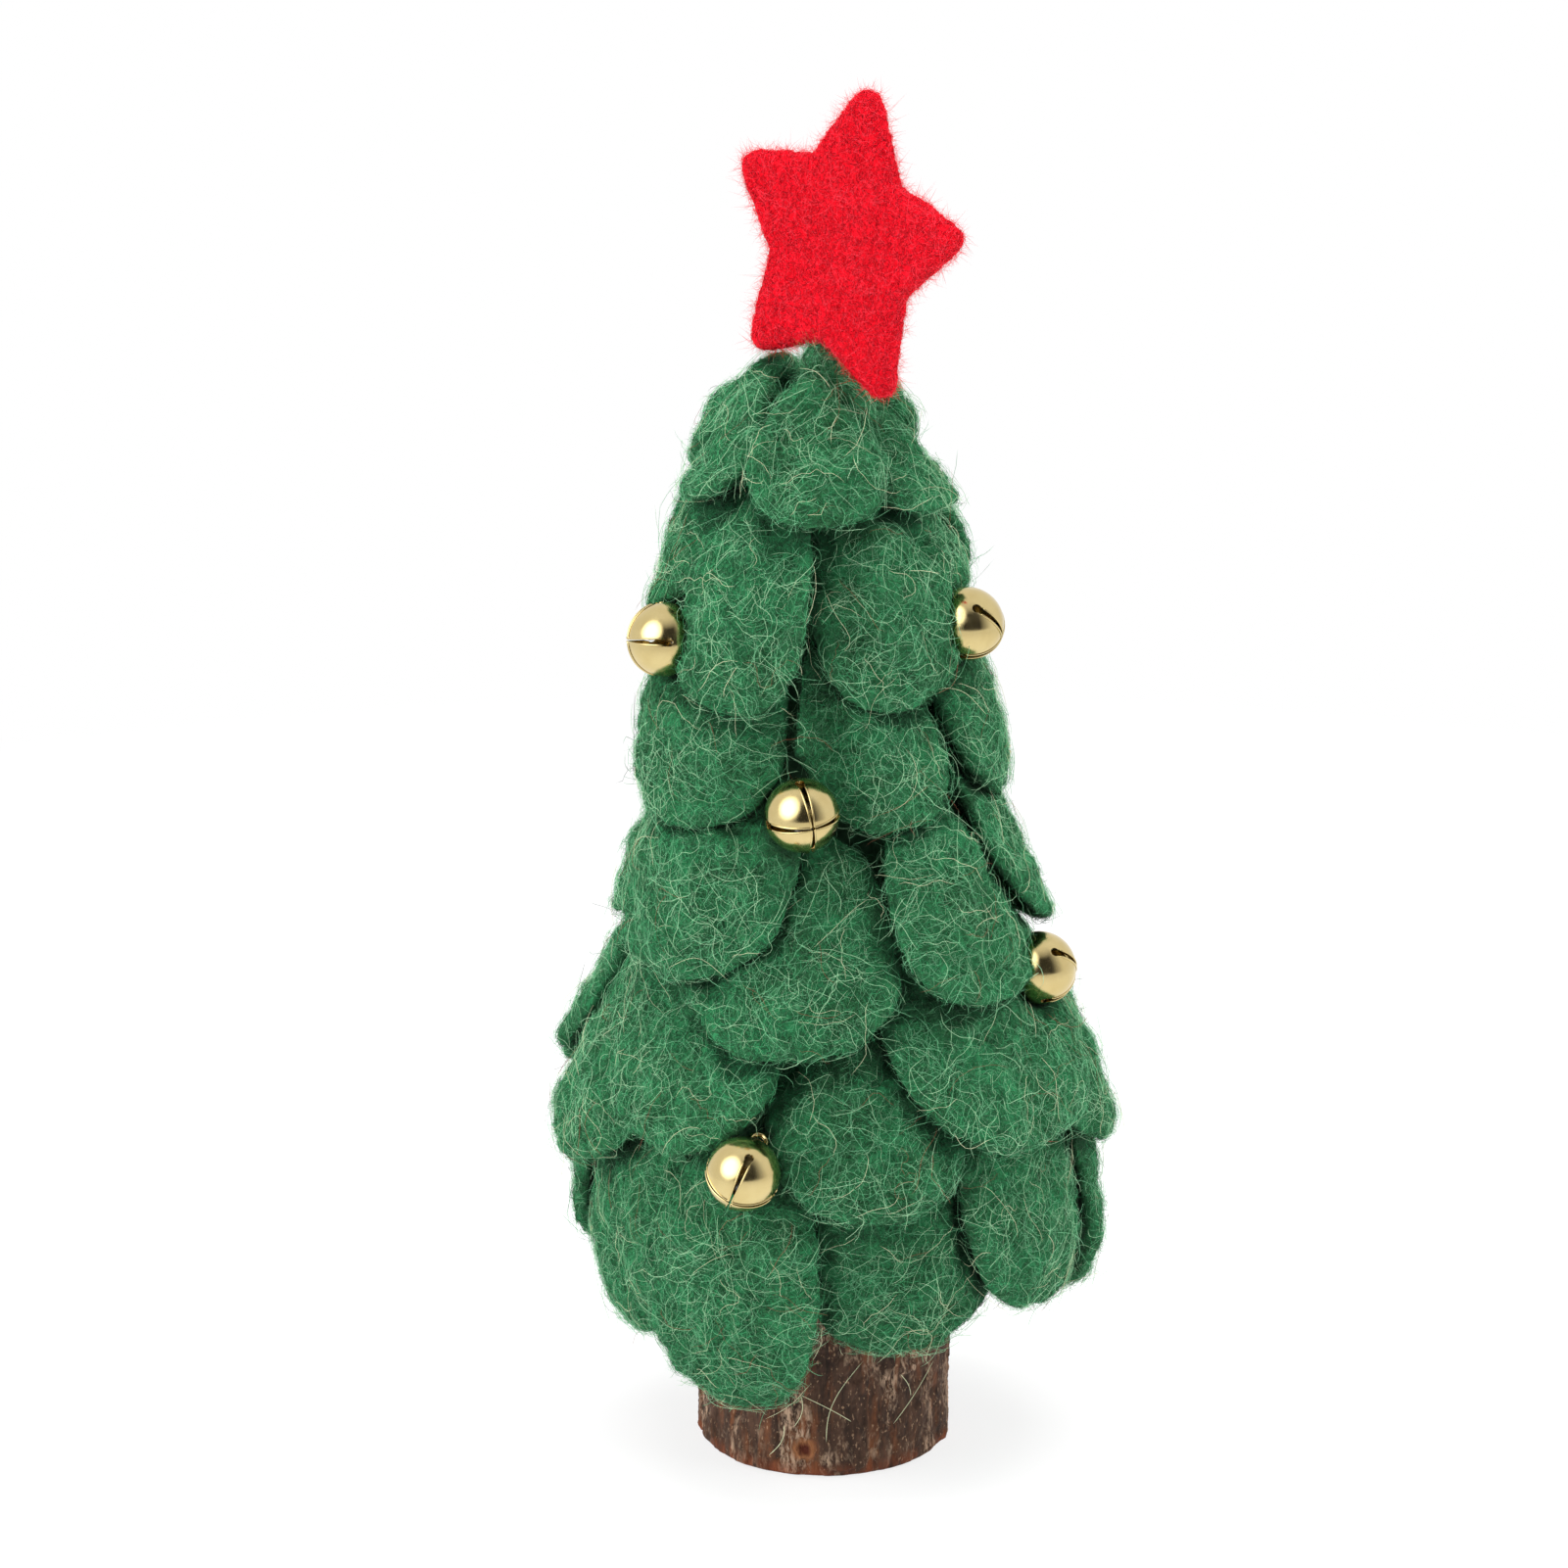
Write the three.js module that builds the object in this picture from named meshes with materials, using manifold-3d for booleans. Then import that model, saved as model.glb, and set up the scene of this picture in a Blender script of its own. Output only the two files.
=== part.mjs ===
// A tabletop felt Christmas tree: thick felt petals in overlapping rows round a foam core on a sawn
// log, jingle bells glued between the petals, and a felt star glued to the tip.
// Millimetres, +Z up. The front of the tree faces -Y. The origin is at the centre of the log's foot.
// Azimuths are in degrees, counted from the front towards +X. A share is a part of the size it names.
import * as THREE from "three";
import { mergeVertices } from "three/addons/utils/BufferGeometryUtils.js";
import Module from "manifold-3d";

const wasm = await Module();
wasm.setup();

// Driving sizes
const log = { radius: 14, height: 22.8, bevel: 0.8, sides: 36 };

const core = { height: 97, radius: 25, seatGap: 0.9, sides: 24, rings: 14 };

// The petals that hang free below the core follow this skirt, down to its foot.
const skirt = { drop: 16, footRadius: 16.4 };

const felt = { thickness: 2, gap: 0.4, edgeGap: 0.6, sectors: 16 };

// The radius round the outside of the felt grows from this one at the tip, by a share of the core's.
const girth = { atTip: 10.5, coreShare: 0.66 };

const lean = { degrees: -2.4, side: 1.3 };

const bell = {
  radius: 4,
  wall: 0.45,
  slotWidth: 0.9,
  slotNeck: 0.3,
  slotLipShare: 0.9,
  loopRadius: 0.9,
  loopWire: 0.3,
  gap: 0.3,
  slots: 4,
  sectors: 12,
  rings: 7,
  wireSides: 4,
  loopSides: 8,
  shaftSides: 6,
};

const pellet = { radius: 1.2, gap: 0.25, sectors: 8, rings: 6 };

const star = {
  points: 5,
  radius: 18,
  notchRadius: 10.2,
  tipRound: 2.4,
  notchRound: 1.2,
  roundSteps: 3,
  thickness: 2.6,
  bevel: 0.6,
  gap: 0.5,
  side: 5.2,
  forward: 2,
  turnDegrees: 8.7,
  leanDegrees: 8.3,
  yawDegrees: -45.5,
};

// The felt stands this far over the core's tip. The glue lies on it.
const crown = { height: 0.8 };

const bead = { radius: 1.8, height: 4.3, gap: 0.3, side: 2.3, forward: 1.3, sides: 12, rings: 6 };

// The core's side from its tip down to its base, as [height, radius] shares of the core.
const coreProfileShares = [
  [1, 0],
  [0.985, 0.06],
  [0.958, 0.105],
  [0.925, 0.15],
  [0.89, 0.205],
  [0.85, 0.265],
  [0.803, 0.33],
  [0.741, 0.39],
  [0.668, 0.414],
  [0.606, 0.426],
  [0.544, 0.456],
  [0.451, 0.515],
  [0.358, 0.584],
  [0.264, 0.712],
  [0.166, 0.862],
  [0.078, 0.942],
  [0, 0.944],
];
// The skirt below the base, as [share of its drop, share of the way in from the core to its foot].
const skirtProfileShares = [
  [0.3, 0.06],
  [0.62, 0.4],
  [1, 1],
];

// A petal's outline is an oval with full corners, and its sheet has these rings of vertices. A
// fullness of 2 is a plain oval.
const fullness = 2.5;
const ringShares = [0, 0.4, 0.75, 0.94, 1];

// The petals of each row are cut alike, wider towards their tips by a share of their width. Their
// roots stay clear of the core's tip by this length of its side, and their tips flare out this far.
// The top row has no length of its own: its petals reach from their tips up to that clearance.
const hemPetal = { length: 30, width: 23.5, tipWideShare: 0.05, rootClear: 8, flare: 0.9 };
const lowPetal = { length: 30, width: 23, tipWideShare: 0.05, rootClear: 8, flare: 1.5 };
const waistPetal = { length: 28, width: 23, tipWideShare: 0.05, rootClear: 8, flare: 1.12 };
const middlePetal = { length: 25, width: 21.5, tipWideShare: 0.05, rootClear: 8, flare: 0.25 };
const highPetal = { length: 24, width: 20, tipWideShare: 0.05, rootClear: 8, flare: 0.72 };
const topPetal = { width: 16, tipWideShare: 0.12, rootClear: 1.5, flare: 2.04 };

// The rows of petals, from the hem up to the tip, in the order in which they are glued on. Each petal
// is [azimuth of its tip, height of its tip as a share of the core's tip's, tilt of its root to the
// right, width as a share of the row's, lift of its right edge as a share of its width].
const rows = [
  {
    name: "hem",
    cut: hemPetal,
    petals: [
      [-67, 0.154, 4, 1.12, 0],
      [19, 0.164, -4, 1.08, 0],
      [56, 0.176, 3, 1.06, 0],
      [-26.5, 0.12, 5, 0.8, 0],
      [106, 0.141, -3, 1.14, 0],
      [204, 0.125, 4, 1.12, 0],
      [154, 0.158, 0, 1.14, 0],
      [247, 0.175, -5, 1.08, 0],
    ],
  },
  {
    name: "low",
    cut: lowPetal,
    petals: [
      [-80, 0.291, 0, 1.08, 0],
      [8, 0.287, 4, 0.95, 0],
      [90, 0.285, -5, 1.14, 0],
      [-35, 0.332, -4, 0.92, 0],
      [46, 0.317, 0, 1.05, 0],
      [133, 0.291, 5, 1.14, 0],
      [233, 0.311, 4, 1.14, 0],
      [184, 0.299, -3, 1.14, 0],
    ],
  },
  {
    name: "waist",
    cut: waistPetal,
    petals: [
      [-9, 0.412, 0, 0.95, 0],
      [245, 0.482, -4, 1.1, 0],
      [-51, 0.487, 14, 1, 0],
      [45, 0.437, -3, 0.7, 0],
      [86, 0.49, 0, 0.93, 0],
      [136, 0.473, 6, 1.14, 0],
      [194, 0.448, 3, 1.14, 0],
    ],
  },
  {
    name: "middle",
    cut: middlePetal,
    petals: [
      [262, 0.644, -3, 1.12, 0],
      [-46.5, 0.627, 3, 1.05, 0],
      [87, 0.613, 0, 0.93, 0],
      [27.5, 0.623, -6, 0.82, 0],
      [138, 0.648, 6, 1.12, 0],
      [200, 0.623, 3, 1.12, 0],
    ],
  },
  {
    name: "high",
    cut: highPetal,
    petals: [
      [-85, 0.8, 0, 1.05, 0],
      [97, 0.8, 3, 0.96, 0],
      [34, 0.732, 0, 1, 0],
      [-29, 0.735, 8, 0.69, 0.1],
      [206, 0.747, 4, 1.12, 0],
      [150, 0.77, -4, 1, 0],
    ],
  },
  {
    name: "top",
    cut: topPetal,
    petals: [
      [70, 0.875, 0, 1.04, 0.12],
      [-62, 0.896, -6, 1.04, 0.12],
      [140, 0.917, 0, 1.18, 0],
      [215, 0.893, 0, 1.18, 0],
      [7.5, 0.881, 0, 0.96, 0],
    ],
  },
];

// The bells, as [azimuth and height share of their seat, how far they are pressed into the felt as a
// share of their radius, azimuth and rise of the cross of their slots, turn of the slots].
const bells = [
  [-56.5, 0.792, 1.17, -75, 5, -11],
  [73, 0.788, 1, 79, -22, -43],
  [125, 0.615, 0.15, 140, -15, 20],
  [-4, 0.652, 0.4, 17, -5, -5],
  [66, 0.453, 1.4, 101, -13, -45],
  [-17, 0.333, 0.75, -25, -29, 28],
  [-150, 0.496, 0.6, -148, -12, 10],
  [178, 0.367, 0.6, 170, -20, -30],
];

// Finishes
function finish(name, color, roughness, metalness) {
  return new THREE.MeshStandardMaterial({ name, color, roughness, metalness });
}

const finishes = {
  bark: finish("bark", "#4b342a", 0.9, 0),
  foam: finish("foam", "#2f5a3d", 0.8, 0),
  greenFelt: finish("green felt", "#22713f", 1, 0),
  redFelt: finish("red felt", "#d8112b", 1, 0),
  brass: finish("brass", "#e0bd63", 0.2, 1),
  steel: finish("steel", "#9a9da0", 0.35, 1),
  glue: finish("glue", "#d5d8c8", 0.3, 0),
};

// Heights and lengths worked out from the sizes
const coreBase = log.height + core.seatGap;
const treeTop = coreBase + core.height;
const layer = felt.thickness + felt.gap;
const turn = 2 * Math.PI;
const toRadians = THREE.MathUtils.degToRad;

// The side that the petals lie on: down the core and on down the skirt, as [radius, height] points.
function sideCurve() {
  const points = coreProfileShares.map(([heightShare, radiusShare]) => {
    return new THREE.Vector2(core.radius * radiusShare, coreBase + core.height * heightShare);
  });
  const baseRadius = points.at(-1).x;
  for (const [dropShare, inShare] of skirtProfileShares) {
    const radius = THREE.MathUtils.lerp(baseRadius, skirt.footRadius, inShare);
    points.push(new THREE.Vector2(radius, coreBase - skirt.drop * dropShare));
  }
  return new THREE.SplineCurve(points);
}

const sideSteps = 160;
const side = sideCurve();
const sidePoints = side.getSpacedPoints(sideSteps);
const sideLength = side.getLength();
const sideStep = sideLength / sideSteps;

// Where a distance down the side lies, with the direction that faces straight out of it there.
function sideAt(distance) {
  const place = THREE.MathUtils.clamp(distance / sideStep, 0, sideSteps);
  const index = Math.min(Math.floor(place), sideSteps - 1);
  const before = sidePoints[index];
  const after = sidePoints[index + 1];
  const point = before.clone().lerp(after, place - index);
  const along = after.clone().sub(before).normalize();
  return { radius: Math.abs(point.x), height: point.y, outRadius: -along.y, outHeight: along.x };
}

// How far down the side a height lies.
function distanceDown(height) {
  const index = sidePoints.findIndex((point) => point.y < height);
  return index < 0 ? sideLength : Math.max(index, 1) * sideStep;
}

// The point at an azimuth and a distance down the side, standing off it by a lift.
function pointOnSide(azimuth, distance, lift) {
  const at = sideAt(distance);
  const radius = at.radius + at.outRadius * lift;
  const height = at.height + at.outHeight * lift;
  return new THREE.Vector3(radius * Math.sin(azimuth), -radius * Math.cos(azimuth), height);
}

// Widths are measured round the outside of the stacked felt, which is thickest over the core's tip.
function girthRadius(distance) {
  return girth.atTip + girth.coreShare * sideAt(distance).radius;
}

// The felt laid so far, as the lift of its outside on a grid of azimuths and distances.
const grid = { columns: 180, rows: 150 };
const laid = new Float64Array(grid.columns * grid.rows);

function laidLift(azimuth, distance) {
  const column = (((azimuth / turn) % 1) + 1) % 1 * grid.columns;
  const row = THREE.MathUtils.clamp(distance / sideLength, 0, 1) * (grid.rows - 1);
  const left = Math.floor(column) % grid.columns;
  const right = (left + 1) % grid.columns;
  const upper = Math.min(Math.floor(row), grid.rows - 2);
  const across = column - Math.floor(column);
  const down = row - upper;
  const lift = (c, r) => laid[r * grid.columns + c];
  const above = THREE.MathUtils.lerp(lift(left, upper), lift(right, upper), across);
  const below = THREE.MathUtils.lerp(lift(left, upper + 1), lift(right, upper + 1), across);
  return THREE.MathUtils.lerp(above, below, down);
}

// A petal is a sheet of rings and spokes round its middle. Its spokes start at its tip.
function outlineReach(petal, angle) {
  const halfWidth = (petal.width / 2) * (1 + petal.tipWideShare * Math.cos(angle));
  const across = Math.abs(Math.sin(angle)) / halfWidth;
  const down = Math.abs(Math.cos(angle)) / (petal.length / 2);
  return (across ** fullness + down ** fullness) ** (-1 / fullness);
}

function petalToSide(petal, angle, share) {
  const reach = outlineReach(petal, angle) * share;
  const across = reach * Math.sin(angle);
  const down = reach * Math.cos(angle) - petal.length / 2;
  const sideways = across * Math.cos(petal.tilt) - down * Math.sin(petal.tilt);
  const distance = petal.tipDistance + across * Math.sin(petal.tilt) + down * Math.cos(petal.tilt);
  return { azimuth: petal.azimuth + sideways / girthRadius(distance), distance };
}

function sideToPetal(petal, azimuth, distance) {
  let away = (azimuth - petal.azimuth) % turn;
  away += away > Math.PI ? -turn : away < -Math.PI ? turn : 0;
  const sideways = away * girthRadius(distance);
  const drop = distance - petal.tipDistance;
  const across = sideways * Math.cos(petal.tilt) + drop * Math.sin(petal.tilt);
  const down = drop * Math.cos(petal.tilt) - sideways * Math.sin(petal.tilt) + petal.length / 2;
  const angle = Math.atan2(across, down);
  return { angle, share: Math.hypot(across, down) / outlineReach(petal, angle), across, down };
}

function spokeAngle(spoke) {
  return (turn * spoke) / felt.sectors;
}

// The lift of a petal's sheet between its vertices.
function sheetLift(lifts, angle, share) {
  const spoke = ((((angle / turn) % 1) + 1) % 1) * felt.sectors;
  const first = Math.floor(spoke) % felt.sectors;
  const second = (first + 1) % felt.sectors;
  const across = spoke - Math.floor(spoke);
  const clipped = Math.min(share, 1);
  const ring = Math.max(1, ringShares.findIndex((ringShare) => ringShare >= clipped));
  const span = ringShares[ring] - ringShares[ring - 1];
  const out = (clipped - ringShares[ring - 1]) / span;
  const inner = THREE.MathUtils.lerp(lifts[ring - 1][first], lifts[ring - 1][second], across);
  const outer = THREE.MathUtils.lerp(lifts[ring][first], lifts[ring][second], across);
  return THREE.MathUtils.lerp(inner, outer, out);
}

// Felt is stiff: each round evens out the sheet, then lifts it off whatever it would sink into.
const drapeRounds = 26;
const evenShare = 0.4;
const probeShares = [0, 0.25, 0.5, 0.75, 1];

function evenOut(lifts) {
  const before = lifts.map((ring) => ring.slice());
  for (let ring = 0; ring < lifts.length; ring += 1) {
    for (let spoke = 0; spoke < felt.sectors; spoke += 1) {
      const opposite = (spoke + felt.sectors / 2) % felt.sectors;
      const inner = ring > 0 ? before[ring - 1][spoke] : before[0][opposite];
      const outer = before[Math.min(ring + 1, lifts.length - 1)][spoke];
      const left = before[ring][(spoke + felt.sectors - 1) % felt.sectors];
      const right = before[ring][(spoke + 1) % felt.sectors];
      const mean = (inner + outer + left + right) / 4;
      lifts[ring][spoke] += evenShare * (mean - lifts[ring][spoke]);
    }
  }
}

function levelCentre(lifts) {
  const highest = Math.max(...lifts[0]);
  lifts[0].fill(highest);
}

function liftClear(petal, lifts) {
  for (let ring = 1; ring < ringShares.length; ring += 1) {
    for (let spoke = 0; spoke < felt.sectors; spoke += 1) {
      const next = (spoke + 1) % felt.sectors;
      for (const outShare of probeShares) {
        for (const acrossShare of probeShares) {
          const share = THREE.MathUtils.lerp(ringShares[ring - 1], ringShares[ring], outShare);
          const angle = spokeAngle(spoke + acrossShare);
          const at = petalToSide(petal, angle, share);
          const least = laidLift(at.azimuth, at.distance) + felt.gap;
          const short = least - sheetLift(lifts, angle, share);
          if (short <= 0) {
            continue;
          }
          const weights = [
            [ring - 1, spoke, (1 - outShare) * (1 - acrossShare)],
            [ring - 1, next, (1 - outShare) * acrossShare],
            [ring, spoke, outShare * (1 - acrossShare)],
            [ring, next, outShare * acrossShare],
          ];
          const total = weights.reduce((sum, [, , weight]) => sum + weight * weight, 0);
          for (const [r, s, weight] of weights) {
            lifts[r][s] += (short * weight) / total;
          }
        }
      }
      levelCentre(lifts);
    }
  }
}

function drape(petal) {
  const lifts = ringShares.map((share) => {
    return Array.from({ length: felt.sectors }, (_, spoke) => {
      const at = petalToSide(petal, spokeAngle(spoke), share);
      return laidLift(at.azimuth, at.distance) + felt.gap;
    });
  });
  for (let round = 0; round < drapeRounds; round += 1) {
    evenOut(lifts);
    liftClear(petal, lifts);
  }
  return lifts;
}

// The tip stands off a little, and a curled petal stands off along its right edge.
function curl(petal, lifts) {
  lifts.forEach((ring, index) => {
    for (let spoke = 0; spoke < felt.sectors; spoke += 1) {
      const angle = spokeAngle(spoke);
      const share = ringShares[index];
      const toTip = Math.max(Math.cos(angle) * share, 0);
      const toRight = Math.max(Math.sin(angle) * share, 0);
      ring[spoke] += petal.flare * toTip ** 2 + petal.edgeLift * toRight ** 2;
    }
  });
}

function layDown(petal, lifts) {
  for (let row = 0; row < grid.rows; row += 1) {
    const distance = (sideLength * row) / (grid.rows - 1);
    for (let column = 0; column < grid.columns; column += 1) {
      const azimuth = (turn * column) / grid.columns;
      const at = sideToPetal(petal, azimuth, distance);
      const reach = outlineReach(petal, at.angle);
      if (reach * (at.share - 1) < felt.edgeGap) {
        const top = sheetLift(lifts, at.angle, at.share) + felt.thickness;
        const cell = row * grid.columns + column;
        laid[cell] = Math.max(laid[cell], top);
      }
    }
  }
}

// The sheet's two faces share the vertices of its rim, which lies halfway up its thickness.
function petalGeometry(petal, lifts) {
  const positions = [];
  const indices = [];
  const put = (ring, spoke, thicknessShare) => {
    const at = petalToSide(petal, spokeAngle(spoke), ringShares[ring]);
    const lift = lifts[ring][spoke] + felt.thickness * thicknessShare;
    const point = pointOnSide(at.azimuth, at.distance, lift);
    positions.push(point.x, point.y, point.z);
    return positions.length / 3 - 1;
  };
  const face = (thicknessShare) => {
    const rings = [[put(0, 0, thicknessShare)]];
    for (let ring = 1; ring < ringShares.length - 1; ring += 1) {
      rings.push(Array.from({ length: felt.sectors }, (_, spoke) => put(ring, spoke, thicknessShare)));
    }
    return rings;
  };
  const rim = Array.from({ length: felt.sectors }, (_, spoke) => put(ringShares.length - 1, spoke, 1 / 2));
  for (const outside of [true, false]) {
    const rings = [...face(outside ? 1 : 0), rim];
    const triangle = (a, b, c) => (outside ? indices.push(a, b, c) : indices.push(a, c, b));
    for (let spoke = 0; spoke < felt.sectors; spoke += 1) {
      const next = (spoke + 1) % felt.sectors;
      triangle(rings[0][0], rings[1][spoke], rings[1][next]);
      for (let ring = 1; ring < rings.length - 1; ring += 1) {
        triangle(rings[ring][spoke], rings[ring + 1][spoke], rings[ring + 1][next]);
        triangle(rings[ring][spoke], rings[ring + 1][next], rings[ring][next]);
      }
    }
  }
  const geometry = new THREE.BufferGeometry();
  geometry.setAttribute("position", new THREE.Float32BufferAttribute(positions, 3));
  geometry.setIndex(indices);
  return geometry;
}

function readPetal(cut, [azimuth, tipShare, tilt, widthShare, edgeLiftShare]) {
  const tipDistance = distanceDown(treeTop * tipShare);
  const room = tipDistance - cut.rootClear;
  return {
    length: Math.min(cut.length ?? room, room),
    width: cut.width * widthShare,
    tipWideShare: cut.tipWideShare,
    flare: cut.flare,
    edgeLift: cut.width * edgeLiftShare,
    azimuth: toRadians(azimuth),
    tilt: toRadians(tilt),
    tipDistance,
  };
}

// Solids that are cut or joined. Vertices closer than the weld are one.
const weld = 0.0003;

function toSolid(geometry) {
  const bare = geometry.clone();
  bare.deleteAttribute("normal");
  bare.deleteAttribute("uv");
  const merged = mergeVertices(bare, weld);
  const triVerts = new Uint32Array(merged.index.array);
  const vertProperties = new Float32Array(merged.attributes.position.array);
  return new wasm.Manifold(new wasm.Mesh({ numProp: 3, vertProperties, triVerts }));
}

function toGeometry(solid) {
  const mesh = solid.getMesh();
  const geometry = new THREE.BufferGeometry();
  geometry.setAttribute("position", new THREE.Float32BufferAttribute(mesh.vertProperties, 3));
  geometry.setIndex(Array.from(mesh.triVerts));
  return geometry;
}

function largestBody(solid) {
  const bodies = solid.decompose();
  return bodies.reduce((most, body) => (body.volume() > most.volume() ? body : most));
}

function ballGeometry(radius, sectors, rings) {
  const ball = new THREE.SphereGeometry(radius, sectors, rings);
  ball.rotateX(Math.PI / 2);
  return ball;
}

// The log, sawn flat at both ends with its edges broken
function logGeometry() {
  const profile = [
    [0, 0],
    [log.radius - log.bevel, 0],
    [log.radius, log.bevel],
    [log.radius, log.height - log.bevel],
    [log.radius - log.bevel, log.height],
    [0, log.height],
  ];
  return lathe(profile, log.sides);
}

function lathe(profile, sides) {
  const points = profile.map(([radius, height]) => new THREE.Vector2(radius, height));
  const geometry = new THREE.LatheGeometry(points, sides);
  geometry.rotateX(Math.PI / 2);
  return geometry;
}

function coreGeometry() {
  const profile = [[0, coreBase]];
  const last = distanceDown(coreBase);
  for (let ring = core.rings; ring > 0; ring -= 1) {
    const at = sideAt((last * ring) / core.rings);
    profile.push([at.radius, ring === core.rings ? coreBase : at.height]);
  }
  profile.push([0, treeTop]);
  return lathe(profile, core.sides);
}

// A bell is a round shell with a crimped loop behind and four slots that meet in front, along +Z.
// The slots are narrow where they meet and widen towards the middle of the bell.
function slotGeometry(angle) {
  const reach = bell.radius + bell.gap;
  const lip = bell.radius * bell.slotLipShare;
  const outline = new THREE.Shape();
  outline.moveTo(-bell.slotNeck / 2, 0);
  outline.lineTo(bell.slotNeck / 2, 0);
  outline.lineTo(bell.slotWidth / 2, lip);
  outline.lineTo(bell.slotWidth / 2, reach);
  outline.lineTo(-bell.slotWidth / 2, reach);
  outline.lineTo(-bell.slotWidth / 2, lip);
  outline.closePath();
  const slot = new THREE.ExtrudeGeometry(outline, { depth: reach, bevelEnabled: false, steps: 1 });
  slot.rotateZ(angle);
  return slot;
}

function bellSolid() {
  const outside = toSolid(ballGeometry(bell.radius, bell.sectors, bell.rings));
  const inside = toSolid(ballGeometry(bell.radius - bell.wall, bell.sectors, bell.rings));
  let shell = outside.subtract(inside);
  for (let slot = 0; slot < bell.slots; slot += 1) {
    shell = shell.subtract(toSolid(slotGeometry((turn * slot) / bell.slots)));
  }
  return shell.add(toSolid(loopGeometry()));
}

// The wire loop stands on the back of the shell, with its foot in the shell's wall.
function loopGeometry() {
  const loop = new THREE.TorusGeometry(bell.loopRadius, bell.loopWire, bell.wireSides, bell.loopSides);
  loop.rotateX(Math.PI / 2);
  loop.translate(0, 0, -bell.radius - bell.loopRadius + bell.loopWire);
  return loop;
}

// The room that a bell and its loop take up in the felt
function pocketSolid() {
  const ball = toSolid(ballGeometry(bell.radius + bell.gap, bell.sectors, bell.rings));
  const depth = bell.radius + 2 * bell.loopRadius + bell.gap;
  const width = bell.loopRadius + bell.loopWire + bell.gap;
  const shaft = new THREE.CylinderGeometry(width, width, depth, bell.shaftSides);
  shaft.rotateX(Math.PI / 2);
  shaft.translate(0, 0, -depth / 2);
  return ball.add(toSolid(shaft));
}

// A bell lies against the felt, pressed in by its sink. It is held off at probes all under it.
const seatProbes = 8;

function bellPlace([azimuthDegrees, heightShare, sinkShare, poleAzimuth, poleRise, spin]) {
  const azimuth = toRadians(azimuthDegrees);
  const distance = distanceDown(treeTop * heightShare);
  let lift = 0;
  for (let right = -seatProbes; right <= seatProbes; right += 1) {
    for (let down = -seatProbes; down <= seatProbes; down += 1) {
      const rightShare = right / seatProbes;
      const downShare = down / seatProbes;
      const away = Math.hypot(rightShare, downShare) * bell.radius;
      if (away < bell.radius) {
        const sideways = (rightShare * bell.radius) / girthRadius(distance);
        const under = laidLift(azimuth + sideways, distance + downShare * bell.radius);
        lift = Math.max(lift, under + Math.sqrt(bell.radius ** 2 - away ** 2));
      }
    }
  }
  const centre = pointOnSide(azimuth, distance, lift - bell.radius * sinkShare);
  const rise = toRadians(poleRise);
  const swing = toRadians(poleAzimuth);
  const level = Math.cos(rise);
  const pole = new THREE.Vector3(level * Math.sin(swing), -level * Math.cos(swing), Math.sin(rise));
  const up = new THREE.Vector3(0, 0, 1).addScaledVector(pole, -pole.z).normalize();
  const right = new THREE.Vector3().crossVectors(up, pole);
  const frame = new THREE.Matrix4().makeBasis(right, up, pole);
  frame.multiply(new THREE.Matrix4().makeRotationZ(-toRadians(spin)));
  frame.setPosition(centre);
  return frame;
}

// The pellet lies at the lowest point of its bell.
function pelletDrop() {
  const roundness = Math.cos(Math.PI / bell.sectors);
  return (bell.radius - bell.wall) * roundness - pellet.radius - pellet.gap;
}

// The star is die-cut felt, with rounded tips and notches
function starGeometry() {
  const outline = new THREE.Shape();
  const corners = [];
  for (let corner = 0; corner < 2 * star.points; corner += 1) {
    const radius = (corner % 2 === 0 ? star.radius : star.notchRadius) - star.bevel;
    const angle = (turn * corner) / (2 * star.points) + turn / 4;
    corners.push(new THREE.Vector2(radius * Math.cos(angle), radius * Math.sin(angle)));
  }
  corners.forEach((corner, index) => {
    const before = corners.at(index - 1);
    const after = corners[(index + 1) % corners.length];
    const round = index % 2 === 0 ? star.tipRound : star.notchRound;
    const start = corner.clone().add(before.clone().sub(corner).setLength(round));
    const end = corner.clone().add(after.clone().sub(corner).setLength(round));
    if (index === 0) {
      outline.moveTo(start.x, start.y);
    } else {
      outline.lineTo(start.x, start.y);
    }
    outline.quadraticCurveTo(corner.x, corner.y, end.x, end.y);
  });
  outline.closePath();
  const depth = star.thickness - 2 * star.bevel;
  const geometry = new THREE.ExtrudeGeometry(outline, {
    depth,
    curveSegments: star.roundSteps,
    bevelSize: star.bevel,
    bevelThickness: star.bevel,
    bevelSegments: 1,
  });
  geometry.translate(0, 0, -depth / 2);
  geometry.rotateX(Math.PI / 2);
  return geometry;
}

// The glue under the star is a flattened blob
function beadGeometry() {
  const geometry = ballGeometry(bead.radius, bead.sides, bead.rings);
  geometry.scale(1, 1, bead.height / (2 * bead.radius));
  return geometry;
}

// Assembly
function meshOf(name, geometry, finish) {
  const mesh = new THREE.Mesh(geometry, finish);
  mesh.name = name;
  return mesh;
}

const tree = new THREE.Group();
tree.add(meshOf("log_trunk", logGeometry(), finishes.bark));

const top = new THREE.Group();
top.rotation.y = toRadians(lean.degrees);
const pivot = new THREE.Vector3(0, 0, log.height);
top.position.copy(pivot.clone().sub(pivot.clone().applyEuler(top.rotation)));
top.position.x += lean.side;
tree.add(top);
top.add(meshOf("foam_core", coreGeometry(), finishes.foam));

const petals = [];
for (const row of rows) {
  row.petals.forEach((entry, index) => {
    const petal = readPetal(row.cut, entry);
    const lifts = drape(petal);
    curl(petal, lifts);
    layDown(petal, lifts);
    petals.push({ name: `petal_${row.name}_${index + 1}`, solid: toSolid(petalGeometry(petal, lifts)) });
  });
}

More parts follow.
